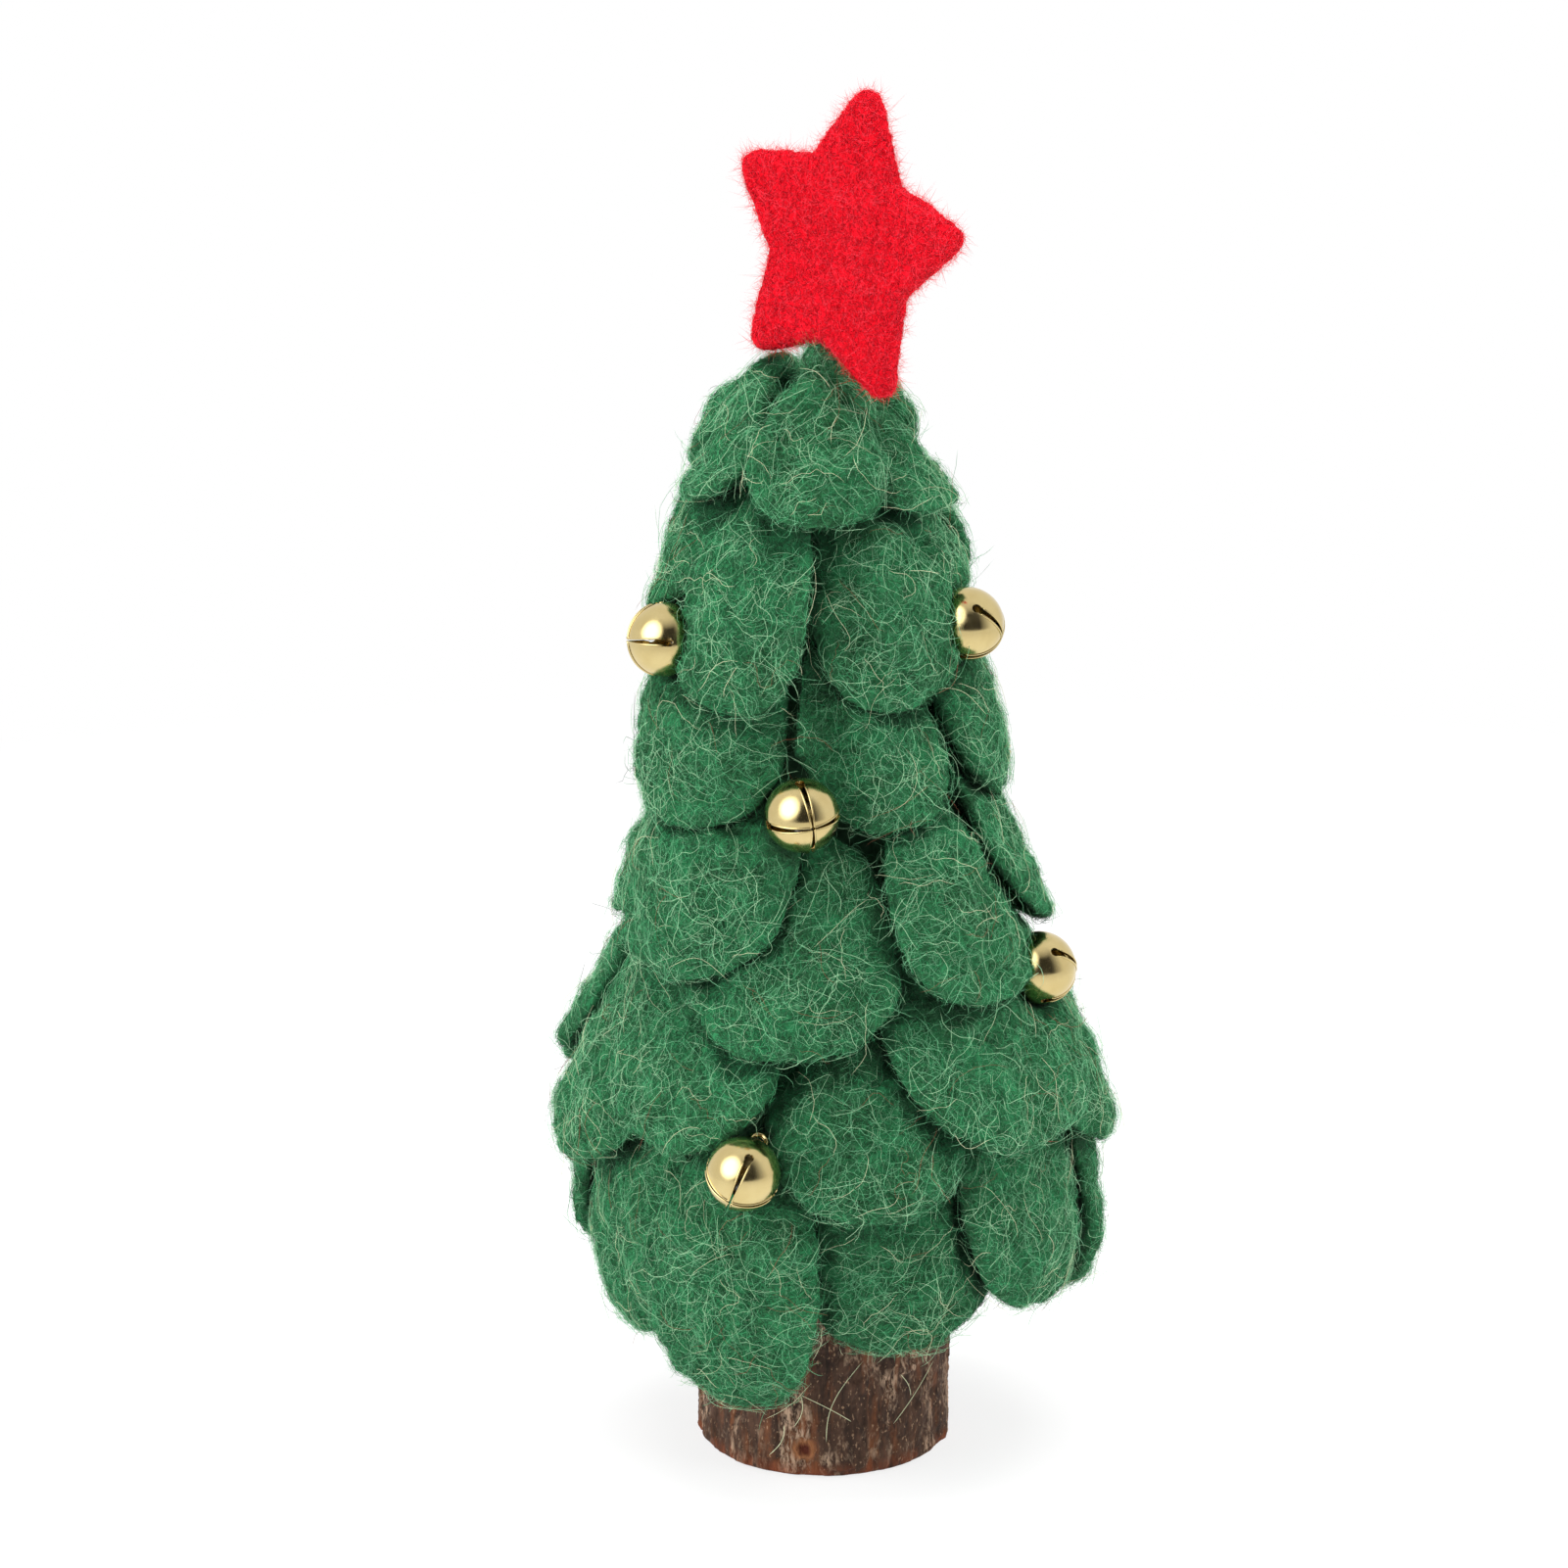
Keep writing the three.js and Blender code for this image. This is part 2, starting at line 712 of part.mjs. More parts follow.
const pocket = pocketSolid();
const shell = toGeometry(bellSolid());
const places = bells.map(bellPlace);
places.forEach((place, index) => {
  const room = pocket.transform(place.toArray());
  for (const petal of petals) {
    petal.solid = largestBody(petal.solid.subtract(room));
  }
  const shellMesh = meshOf(`bell_${index + 1}`, shell.clone(), finishes.brass);
  shellMesh.applyMatrix4(place);
  top.add(shellMesh);
  const centre = new THREE.Vector3().setFromMatrixPosition(place);
  const pelletMesh = meshOf(
    `bell_pellet_${index + 1}`,
    ballGeometry(pellet.radius, pellet.sectors, pellet.rings),
    finishes.steel,
  );
  pelletMesh.position.copy(centre);
  pelletMesh.position.z -= pelletDrop();
  top.add(pelletMesh);
});
for (const petal of petals) {
  top.add(meshOf(petal.name, toGeometry(petal.solid), finishes.greenFelt));
}

// The glue lies on the crown of the felt, and the star's lowest notch stands on the glue.
const beadBase = treeTop + crown.height + bead.gap;
const beadMesh = meshOf("star_glue", beadGeometry(), finishes.glue);
beadMesh.position.set(bead.side, -bead.forward, beadBase + bead.height / 2);
top.add(beadMesh);

const starTurn = toRadians(star.turnDegrees);
const starLean = toRadians(star.leanDegrees);
const notchDrop = star.notchRadius * Math.cos(starTurn) * Math.cos(starLean);
const starMesh = meshOf("felt_star", starGeometry(), finishes.redFelt);
starMesh.rotation.set(-starLean, starTurn, toRadians(star.yawDegrees), "ZXY");
starMesh.position.set(star.side, -star.forward, beadBase + bead.height + star.gap + notchDrop);
top.add(starMesh);

export default tree;
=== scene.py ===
# A small felt Christmas tree: felt petals in rows over a foam core on a sawn log, jingle bells
# between the petals and a felt star on the tip. Metres, +Z up, and the tree's front faces -Y.
# Sizes named here are in millimetres, and MM turns them into metres. A share is a part of the size
# it names.
import math

import bmesh
import bpy
import numpy as np
from mathutils import Matrix, Vector
from mathutils.bvhtree import BVHTree
from mathutils.kdtree import KDTree


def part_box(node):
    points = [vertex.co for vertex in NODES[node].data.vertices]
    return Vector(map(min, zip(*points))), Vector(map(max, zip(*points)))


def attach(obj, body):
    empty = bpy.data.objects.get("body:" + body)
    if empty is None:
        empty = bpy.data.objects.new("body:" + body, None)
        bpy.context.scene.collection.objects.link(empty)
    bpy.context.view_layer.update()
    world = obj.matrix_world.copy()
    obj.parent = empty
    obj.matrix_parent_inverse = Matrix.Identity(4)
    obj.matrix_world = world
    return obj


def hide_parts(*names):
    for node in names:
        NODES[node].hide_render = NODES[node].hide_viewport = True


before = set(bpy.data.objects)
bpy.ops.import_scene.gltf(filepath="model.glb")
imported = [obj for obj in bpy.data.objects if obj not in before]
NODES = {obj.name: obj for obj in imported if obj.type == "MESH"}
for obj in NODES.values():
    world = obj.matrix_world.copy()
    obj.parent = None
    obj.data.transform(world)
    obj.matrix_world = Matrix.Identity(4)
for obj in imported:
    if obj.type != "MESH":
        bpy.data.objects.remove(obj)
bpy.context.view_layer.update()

MM = 0.001
FULL_TURN = 2 * math.pi
PETALS = sorted(name for name in NODES if name.startswith("petal_"))
BELLS = sorted(name for name in NODES if name.startswith("bell_") and "pellet" not in name)
PELLETS = sorted(name for name in NODES if name.startswith("bell_pellet_"))
LOG_LOW, LOG_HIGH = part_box("log_trunk")
LOG_RADIUS = (LOG_HIGH.x - LOG_LOW.x) / 2
LOG_HEIGHT = LOG_HIGH.z - LOG_LOW.z

# The lean of all that stands on the log, and the middle that the dome's felt faces away from
TREE = {"lean": 2.4, "pivot": 22.8, "side": 1.3, "drop": 6, "dome": 102}
LEAN = Matrix.Rotation(-math.radians(TREE["lean"]), 3, "Y")

# The camera, as worked out from the photo
CAMERA = {
    "place": (-4.5, -600, 261), "pitch": 17.1, "near": 10, "focal_pixels": 5850,
    "picture_pixels": 1601, "sensor": 36,
}

# The floor's radius, the reach of the shadow on it, where it is white, and its glow by the tree
FLOOR = {"radius": 900, "shadow": 40, "white": 300, "glow": 0.72, "sides": 96}
# A white tent round the tree: how much it lights, the dark opening in its front that the bells
# reflect (its azimuth, the span of its edge, its level and where the roof starts), and a bright
# soft patch
TENT_LEVEL = 0.46
OPENING = {"azimuth": 0.25, "edge": (0.45, 1.15), "level": 0.05, "top": (0.7, 1.0)}
HIGHLIGHT = {"way": (-0.62, -0.56, 0.55), "edge": (0.8, 0.95), "level": 3.6}
# Softboxes that face one point: place, width, height, and power in watts
BOX_TARGET = (0, 0, 80)
SOFTBOXES = {
    "left_box": ((-750, -200, 300), 800, 800, 10.0),
    "right_box": ((750, -50, 300), 800, 800, 8.5),
    "top_box": ((0, 0, 900), 800, 600, 8.0),
}

# Felt sheets: the rounding of their solids, the voxels that they are remade with, how far their
# faces, rims and pillows stand out, lumps as pairs of length and height, and rounds of smoothing
PETAL_FELT = {
    "round": 2, "voxel": 0.45, "face": 0.1, "rim": -0.1, "pillow": 0.85,
    "lumps": ((6, 0.2), (2.4, 0.1), (1.2, 0.04)), "smooth": 5,
}
STAR_FELT = {
    "round": 0, "voxel": 0.35, "face": 0.1, "rim": 0.0, "pillow": 0.2,
    "lumps": ((5, 0.1), (1.6, 0.07), (0.8, 0.05)), "smooth": 2,
}
GLUE_BLOB = {
    "round": 2, "voxel": 0.2, "face": 0.1, "rim": 0.1, "pillow": 0,
    "lumps": ((1.6, 0.1),), "smooth": 4,
}
# Points of a solid that are closer than this are one.
WELD = 0.001
# The top row's petals are felted together round the tip, so their rims stand out further.
TOP_RIM = 0.45
# How far in from its rim a pillow is full
PILLOW_WIDTH = 6
# How squarely a sheet looks out of the tree where its face starts, and over what span it becomes
# all face. The rim lies between two shares of face, and has a share of the lumps.
FACE_SHARES = {"start": 0.1, "span": 0.7, "rim": (0.02, 0.5), "rim_lumps": 0.3}
# The last stretch of a petal down to its tip curls in, and some tips curl otherwise.
CURL = {"length": 7, "rise": -0.7}
TIP_RISES = {
    "petal_top_1": 0.5, "petal_top_2": 0.5, "petal_top_3": -2.4, "petal_top_4": -1.0,
    "petal_top_5": 0.4, "petal_waist_5": -1.4,
}
# The roots of the top row are drawn up round the star's foot, over this length.
ROOT = {"length": 5, "rise": 1.0}
# How far covered felt is pressed in
PRESS = 0.8

# How far a spot of felt looks out to find what covers it, from how far above it, how wide, in how
# many ways, and how much more the ways upwards count
# How open the felt is sets the painted shade on it and on its fibres.
COVER = {"reach": 7, "start": 0.3, "tilt": 1.2, "ways": 6, "upward": 2.0}
# Painted shade: fibres on felt that is less open than these shares take the darker colours given for
# covered felt.
PAINTED_SHADE_SHARES = {"first": 0.62, "second": 0.8, "spread": 0.12}

# Kinds of fibre: how many there are, the ranges of their length, radius and height off the felt,
# how they bend, arch and kink, the points along each, whether they lie along the felt or stand on
# it, and the share of each colour
FIBRES = {
    "mat": {
        "per_mm2": 6.2, "length": (0.8, 2.4), "radius": (0.019, 0.034), "lift": (-0.04, 0.14),
        "bend": (0.1, 1.0), "arch": (-0.05, 0.16), "kink": 0.2, "steps": 4, "lie": True,
        "colours": {"deep": 0.36, "mid": 0.38, "fresh": 0.2, "light": 0.06},
    },
    "nap": {
        "per_mm2": 4.0, "length": (0.4, 1.3), "radius": (0.01, 0.018), "lift": (-0.1, 0.0),
        "bend": (0.1, 0.9), "arch": (0.35, 1.0), "steps": 3, "lie": False,
        "colours": {"mid": 0.35, "fresh": 0.35, "light": 0.3},
    },
    "curl": {
        "per_mm2": 1.65, "length": (1.6, 4.6), "radius": (0.011, 0.018), "lift": (0.05, 0.3),
        "bend": (0.05, 0.8), "arch": (0.0, 0.35), "kink": 0.2, "steps": 6, "lie": True,
        "colours": {"fresh": 0.32, "light": 0.52, "pale": 0.16},
    },
    "long": {
        "per_mm2": 0.4, "length": (3.5, 9.0), "radius": (0.015, 0.026), "lift": (0.1, 0.5),
        "bend": (0.02, 0.26), "arch": (0.0, 0.6), "kink": 0.22, "steps": 10, "lie": True,
        "colours": {"light": 0.42, "pale": 0.44, "straw": 0.09, "brown": 0.05},
    },
}
STAR_FIBRES = {
    "mat": {
        "per_mm2": 7.0, "length": (0.6, 1.8), "radius": (0.02, 0.034), "lift": (-0.05, 0.12),
        "bend": (0.2, 1.6), "arch": (-0.03, 0.12), "kink": 0.3, "steps": 3, "lie": True,
        "colours": {"red_deep": 0.35, "red": 0.5, "red_light": 0.15},
    },
    "nap": {
        "per_mm2": 15.0, "length": (0.3, 1.05), "radius": (0.012, 0.019), "lift": (-0.1, 0.0),
        "bend": (0.6, 2.8), "arch": (0.2, 0.8), "steps": 3, "lie": False,
        "colours": {"red": 0.6, "red_light": 0.4},
    },
    "curl": {
        "per_mm2": 0.45, "length": (1.6, 4.5), "radius": (0.013, 0.02), "lift": (0.05, 0.3),
        "bend": (0.1, 0.9), "arch": (0.0, 0.3), "kink": 0.4, "steps": 6, "lie": True,
        "colours": {"red_light": 0.7, "red": 0.3},
    },
}
# Fuzz that the petals leave on the glue
GLUE_FIBRES = {
    "mat": {**FIBRES["mat"], "per_mm2": 30.0},
    "nap": {**FIBRES["nap"], "per_mm2": 14.0, "length": (1.0, 2.8)},
    "curl": FIBRES["curl"],
}
# Lying fibres follow the tree's girth, which counts as at least this radius.
LEAST_GIRTH = 6

# The bells' shell, slots, holes, turned lips, pellet and wire loop
BELL = {
    "radius": 4, "wall": 0.38, "around": 96, "along": 64, "slot": 0.86, "neck": 0.3,
    "slot_foot": 0.2, "hole": 0.5, "hole_height": 0.55, "hole_sides": 24, "lip": 0.07,
    "lip_wire": 0.11, "lip_steps": 24, "lip_sides": 8, "lip_rounds": 3, "lip_angle": 40,
    "ball_rounds": 4, "loop": 0.9, "wire": 0.3, "loop_steps": 40, "wire_sides": 12,
}
# How far the cutters reach, as a share of the radius, and where a lip starts and turns, as shares
# of the radius and of the neck
CUT_SHARE = 1.2
LIP_SHARES = (0.97, 1.6)
# How far a bell's middle lies above its pellet at rest
PELLET_DROP = 1.98
# The azimuth and rise of the cross of each bell's slots, and its spin
BELL_TURNS = {
    "bell_1": (-75, 5, -11), "bell_2": (79, -22, -43), "bell_3": (140, -15, 20),
    "bell_4": (17, -5, -5), "bell_5": (101, -13, -45), "bell_6": (-25, -29, 28),
    "bell_7": (-148, -12, 10), "bell_8": (170, -20, -30),
}

# The log's bark: points round and up it, its rounded edge, the width of its marks as a share of
# their height, and how far its furrows, flakes and fine grain stand out, and their lengths
BARK = {
    "around": 384, "rows": 120, "rings": 10, "corner_steps": 5, "edge": 0.8, "squeeze_share": 0.3,
    "furrow": 0.088, "furrow_lengths": (3.2, 1.5), "flake": 0.28, "flake_lengths": (5.0, 2.4),
    "flake_edge": 9, "fine": 0.04, "fine_length": 0.8,
}
# The sawn ends start this far in, as a share of the rounded edge.
SAWN_SHARE = 1.2
# A knot in the bark: its place as shares of the log's radius and height, and its rings
KNOT = {"place_shares": (-0.164, -0.993, 0.149), "hole": 1.0, "ring": 1.5, "reach": 2.2, "ragged": 1.2}

# Hairs over the log: the side and height of both ends and how far a hair bows, as shares of the
# log's radius and height
STRAY = {"clear": 1, "radius": 0.042, "steps": 14}
STRAY_SHARES = (
    ((0.307, 0.627), (0.014, 0.202), -0.093),
    ((-0.2, 0.456), (0.214, 0.311), 0.029),
    ((-0.186, 0.447), (-0.243, 0.281), 0.036),
    ((-0.321, 0.289), (-0.443, 0.114), 0.043),
    ((0.871, 0.526), (0.543, 0.263), 0.014),
    ((0.6, 0.518), (0.686, 0.386), 0.021),
)

# Colours as red, green and blue of 255: the fibres, the bark, and the other materials. The felt's
# are its shade, dark, middle, bright and pale ones. Shade, in the felt and the fibres, is painted shade.
FIBRE_COLOURS = {
    "shade": (24, 52, 34), "deep": (30, 68, 42), "mid": (54, 114, 72), "fresh": (62, 150, 98),
    "light": (110, 174, 130), "pale": (158, 202, 160), "straw": (200, 206, 168),
    "brown": (124, 76, 58), "red_deep": (196, 4, 22), "red": (224, 14, 36),
    "red_light": (240, 60, 78),
}
BARK_COLOURS = {
    "dark": (36, 25, 19), "brown": (74, 54, 43), "rust": (118, 70, 42), "pale": (160, 134, 112),
    "dot": (146, 118, 94), "ring": (140, 92, 60), "hole": (76, 34, 22), "foot": (128, 66, 40),
}
TONES = {
    "green_wool_felt": ((16, 38, 24), (26, 62, 38), (50, 108, 68), (50, 138, 88), (104, 166, 122)),
    "red_wool_felt": ((156, 2, 16), (192, 4, 22), (220, 10, 32), (226, 16, 38), (236, 48, 66)),
    "brass": ((198, 176, 118), (220, 202, 148)),
    "steel": ((120, 122, 124), (170, 172, 174)),
    "foam": ((52, 98, 66), (30, 66, 42)),
    "glue": ((66, 112, 80), (186, 200, 182)),
    "sawn": ((176, 132, 88), (140, 98, 62)),
    "saw_marks": ((96, 66, 44),),
}
# Sizes of the features in each material, and the depth of its relief
GRAIN = {
    "felt": {"patch": 4.5, "speck": 0.45, "thread": 1.6, "fine_thread": 1.1, "nap": 0.5, "relief": 0.25},
    "brass": {"tone": 2.2, "scratch": 0.5, "relief": 0.012},
    "steel": {"spot": 0.6},
    "foam": {"cell": 1.4, "relief": 0.3},
    "glue": {"cloud": 2.2, "relief": 0.2},
    "bark": {
        "grain": 1.0, "rust": 2.0, "patch": 3.6, "fleck": 0.42, "dot": 0.3,
        "foot": (0.4, 2.0), "relief": 0.4,
    },
    "sawn": {"rings": 260.0, "mark": 0.6, "relief": 0.1},
}


def linear(red, green, blue):
    """A picture's colour as the shaders' linear one."""
    parts = [value / 255 for value in (red, green, blue)]
    return (*[v / 12.92 if v <= 0.04045 else ((v + 0.055) / 1.055) ** 2.4 for v in parts], 1)


def tones(name):
    return [linear(*colour) for colour in TONES[name]]


# Materials
class Shader:
    """A material's node tree, with short calls that add nodes and join them."""

    def __init__(self, name):
        self.material = bpy.data.materials.new(name)
        self.material.use_nodes = True
        self.tree = self.material.node_tree
        self.surface = self.tree.nodes["Principled BSDF"]
        self.place = self.add("TexCoord").outputs["Object"]

    def put(self, socket, value):
        if isinstance(value, bpy.types.NodeSocket):
            self.tree.links.new(value, socket)
        else:
            socket.default_value = value

    def add(self, kind, inputs=(), **settings):
        node = self.tree.nodes.new("ShaderNode" + kind)
        for name, value in settings.items():
            setattr(node, name, value)
        for key, value in dict(inputs).items():
            self.put(node.inputs[key], value)
        return node

    def stretched(self, scales, shift=(0, 0, 0)):
        mapping = self.add("Mapping", {"Vector": self.place, "Scale": scales, "Location": shift})
        return mapping.outputs["Vector"]

    def noise(self, size, detail=2.0, rough=0.5, warp=0.0, vector=None):
        """Noise whose features are about size millimetres across."""
        inputs = {"Vector": vector or self.place, "Scale": 1 / (size * MM), "Detail": detail}
        inputs.update({"Roughness": rough, "Distortion": warp})
        return self.add("TexNoise", inputs).outputs["Fac"]

    def calc(self, kind, first, second=0.0):
        return self.add("Math", {0: first, 1: second}, operation=kind).outputs["Value"]

    def times(self, first, second):
        return self.calc("MULTIPLY", first, second)

    def span(self, value, low, high, to_low=0.0, to_high=1.0):
        inputs = {"Value": value, "From Min": low, "From Max": high, "To Min": to_low, "To Max": to_high}
        return self.add("MapRange", inputs).outputs["Result"]

    def blend(self, share, first, second):
        node = self.add("Mix", data_type="RGBA")
        self.put(node.inputs[0], share)
        self.put(node.inputs[6], first)
        self.put(node.inputs[7], second)
        return node.outputs[2]

    def threads(self, size, width, warp, shift):
        """Thin curly lines, where a noise crosses its middle."""
        field = self.noise(size, 1.0, 0.4, warp, self.stretched((1, 1, 1), shift))
        away = self.calc("ABSOLUTE", self.calc("SUBTRACT", field, 0.5))
        return self.span(away, 0.0, width, 1.0, 0.0)

    def bump(self, height, depth, strength=1.0):
        inputs = {"Height": height, "Distance": depth * MM, "Strength": strength}
        self.put(self.surface.inputs["Normal"], self.add("Bump", inputs).outputs["Normal"])

    def finish(self, **values):
        for name, value in values.items():
            self.put(self.surface.inputs[name.replace("_", " ")], value)
        return self.material


def felt_material(name):
    """The dense felt under the loose fibres, with shade painted in where it is covered."""
    look = Shader(name)
    size = GRAIN["felt"]
    shade, dark, middle, bright, pale = tones(name)
    patches = look.span(look.noise(size["patch"], 3.0, 0.6), 0.35, 0.65)
    specks = look.span(look.noise(size["speck"], 3.0, 0.7, 1.0), 0.35, 0.7)
    base = look.blend(specks, dark, middle)
    base = look.blend(look.times(patches, 0.55), base, bright)
    thick = look.threads(size["thread"], 0.035, 1.2, (0, 0, 0))
    thin = look.threads(size["fine_thread"], 0.03, 1.6, (0.3, 0.1, 0.7))
    lines = look.calc("MAXIMUM", thick, thin)
    base = look.blend(look.times(lines, 0.35), base, pale)
    # Painted shade: the colour goes to the shade colour where the felt sees little outwards and upwards,
    # in crevices and under the petals above.
    open_share = look.add("Attribute", attribute_name="open").outputs["Fac"]
    colour = look.blend(look.span(open_share, 0.3, 0.9), shade, base)
    nap = look.noise(size["nap"], 4.0, 0.7, 0.8)
    look.bump(look.calc("ADD", lines, nap), size["relief"])
    return look.finish(Base_Color=colour, Roughness=0.95, Specular_IOR_Level=0.15)


def fibre_material(name, colour):
    look = Shader(name)
    return look.finish(Base_Color=linear(*colour), Roughness=0.65, Specular_IOR_Level=0.25)


def brass_material():
    look = Shader("polished_brass")
    size = GRAIN["brass"]
    tone = look.noise(size["tone"], 2.0)
    colour = look.blend(tone, *tones("brass"))
    scratches = look.noise(size["scratch"], 4.0, 0.7, 0.4, look.stretched((1, 1, 0.12)))
    rough = look.span(look.times(tone, scratches), 0.1, 0.45, 0.1, 0.26)
    look.bump(scratches, size["relief"], 0.5)
    return look.finish(Base_Color=colour, Metallic=1.0, Roughness=rough)


def steel_material():
    look = Shader("pellet_steel")
    spots = look.noise(GRAIN["steel"]["spot"], 3.0)
    colour = look.blend(spots, *tones("steel"))
    rough = look.span(spots, 0.3, 0.7, 0.25, 0.5)
    return look.finish(Base_Color=colour, Metallic=1.0, Roughness=rough)


def foam_material():
    look = Shader("green_foam")
    size = GRAIN["foam"]
    inputs = {"Vector": look.place, "Scale": 1 / (size["cell"] * MM)}
    cells = look.add("TexVoronoi", inputs).outputs["Distance"]
    look.bump(cells, size["relief"], 0.6)
    return look.finish(Base_Color=look.blend(cells, *tones("foam")), Roughness=0.85)


def glue_material():
    """Dried glue with felt fuzz in it, whitish only in places."""
    look = Shader("dried_glue")
    size = GRAIN["glue"]
    cloud = look.noise(size["cloud"], 3.0)
    colour = look.blend(look.span(cloud, 0.5, 0.64), *tones("glue"))
    look.bump(cloud, size["relief"], 0.5)
    return look.finish(Base_Color=colour, Roughness=look.span(cloud, 0.3, 0.7, 0.5, 0.3))


def knot_marks(look, grain):
    """How far a spot lies in the knot's hole, and in the ring round it."""
    x, y, z = KNOT["place_shares"]
    place = (x * LOG_RADIUS, y * LOG_RADIUS, z * LOG_HEIGHT)
    away = look.add("VectorMath", {0: look.place, 1: place}, operation="DISTANCE")
    ragged = look.times(grain, KNOT["ragged"] * MM)
    ragged = look.calc("ADD", away.outputs["Value"], ragged)
    hole = look.span(ragged, KNOT["hole"] * MM, KNOT["ring"] * MM, 1.0, 0.0)
    return hole, look.span(ragged, KNOT["ring"] * MM, KNOT["reach"] * MM, 1.0, 0.0)


def bark_material():
    """Dark bark with upright flecks, rust streaks, a knot in front and a red rim at the foot."""
    look = Shader("bark")
    size = GRAIN["bark"]
    colours = {key: linear(*colour) for key, colour in BARK_COLOURS.items()}
    grain = look.noise(size["grain"], 5.0, 0.65, 0.5, look.stretched((1, 1, 0.25)))
    colour = look.blend(look.span(grain, 0.35, 0.65), colours["dark"], colours["brown"])
    rust = look.noise(size["rust"], 4.0, 0.6, 0.4, look.stretched((1, 1, 0.14), (0.7, 0.3, 0.4)))
    colour = look.blend(look.span(rust, 0.52, 0.7, 0.0, 0.75), colour, colours["rust"])
    patch = look.noise(size["patch"], 4.0, 0.6, 0.8, look.stretched((1, 1, 0.5), (0.2, 0.5, 0.1)))
    flecks = look.noise(size["fleck"], 3.0, 0.7, 0.3, look.stretched((1, 1, 0.3), (0.4, 0.2, 0.9)))
    pale = look.times(look.span(patch, 0.51, 0.63), look.span(flecks, 0.44, 0.56))
    colour = look.blend(pale, colour, colours["pale"])
    dots = look.noise(size["dot"], 2.0, 0.6, 0.0, look.stretched((1, 1, 0.4)))
    colour = look.blend(look.span(dots, 0.62, 0.7, 0.0, 0.8), colour, colours["dot"])
    hole, ring = knot_marks(look, grain)
    colour = look.blend(ring, colour, colours["ring"])
    colour = look.blend(hole, colour, colours["hole"])
    height = look.add("SeparateXYZ", {"Vector": look.place}).outputs["Z"]
    low, high = size["foot"]
    foot = look.span(height, low * MM, high * MM, 1.0, 0.0)
    foot = look.times(foot, look.span(rust, 0.4, 0.55))
    colour = look.blend(look.times(foot, 0.6), colour, colours["foot"])
    relief = look.calc("ADD", grain, look.times(pale, 0.5))
    relief = look.calc("SUBTRACT", relief, look.times(hole, 0.8))
    look.bump(relief, size["relief"], 0.9)
    rough = look.span(grain, 0.3, 0.7, 0.68, 0.92)
    return look.finish(Base_Color=colour, Roughness=rough, Specular_IOR_Level=0.2)


def sawn_material():
    """The log's sawn ends, with their rings."""
    look = Shader("sawn_wood")
    size = GRAIN["sawn"]
    inputs = {"Vector": look.place, "Scale": size["rings"], "Distortion": 2.5, "Detail": 2.0}
    rings = look.add("TexWave", inputs, wave_type="RINGS", rings_direction="Z")
    marks = look.noise(size["mark"], 4.0, 0.6, 0.2, look.stretched((1, 0.15, 1)))
    colour = look.blend(rings.outputs["Fac"], *tones("sawn"))
    colour = look.blend(look.times(marks, 0.4), colour, *tones("saw_marks"))
    look.bump(marks, size["relief"], 0.5)
    return look.finish(Base_Color=colour, Roughness=0.8)


# Meshes from arrays
def build_mesh(name, points, triangles, slots=None, smooth=True):
    """A mesh of triangles, with a material slot number for each if slots is given."""
    mesh = bpy.data.meshes.new(name)
    mesh.vertices.add(len(points))
    mesh.vertices.foreach_set("co", np.ascontiguousarray(points, np.float32).ravel())
    mesh.loops.add(3 * len(triangles))
    mesh.loops.foreach_set("vertex_index", np.ascontiguousarray(triangles, np.int32).ravel())
    mesh.polygons.add(len(triangles))
    mesh.polygons.foreach_set("loop_start", np.arange(0, 3 * len(triangles), 3, dtype=np.int32))
    mesh.polygons.foreach_set("use_smooth", np.full(len(triangles), smooth))
    if slots is not None:
        mesh.polygons.foreach_set("material_index", np.ascontiguousarray(slots, np.int32))
    mesh.update()
    mesh.validate()
    return mesh


def placed(name, data):
    piece = bpy.data.objects.new(name, data)
    bpy.context.scene.collection.objects.link(piece)
    return piece


def add_object(name, mesh, body, materials):
    piece = placed(name, mesh)
    for material in materials:
        mesh.materials.append(material)
    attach(piece, body)
    return piece


def mesh_arrays(mesh):
    """A mesh's points, its vertex normals and its triangles."""
    points, normals = np.empty((2, 3 * len(mesh.vertices)), np.float32)
    mesh.vertices.foreach_get("co", points)
    mesh.vertex_normals.foreach_get("vector", normals)
    mesh.calc_loop_triangles()
    triangles = np.empty(3 * len(mesh.loop_triangles), np.int32)
    mesh.loop_triangles.foreach_get("vertices", triangles)
    points, normals = (values.reshape(-1, 3).astype(float) for values in (points, normals))
    return points, normals, triangles.reshape(-1, 3)


def face_areas(points, triangles):
    corners = points[triangles]
    cross = np.cross(corners[:, 1] - corners[:, 0], corners[:, 2] - corners[:, 0])
    return np.linalg.norm(cross, axis=1) / 2


def joined(parts):
    """Several sets of points and triangles as one."""
    starts = np.cumsum([0] + [len(points) for points, _ in parts])
    triangles = [faces + start for (_, faces), start in zip(parts, starts)]
    return np.concatenate([points for points, _ in parts]), np.concatenate(triangles)


def applied(piece):
    """The mesh that an object's modifiers make."""
    graph = bpy.context.evaluated_depsgraph_get()
    graph.update()
    return bpy.data.meshes.new_from_object(piece.evaluated_get(graph))


def unit(vectors):
    return vectors / np.maximum(np.linalg.norm(vectors, axis=-1, keepdims=True), 1e-12)


def ripple(points, length, rng, waves=14):
    """Smooth noise of about unit height, whose lumps are length millimetres across."""
    heading = unit(rng.normal(size=(waves, 3)))
    pace = FULL_TURN / (length * MM) * rng.uniform(0.6, 1.4, waves)
    phase = rng.uniform(0, FULL_TURN, waves)
    return np.sin(points @ (heading * pace[:, None]).T + phase).sum(1) * math.sqrt(2 / waves)


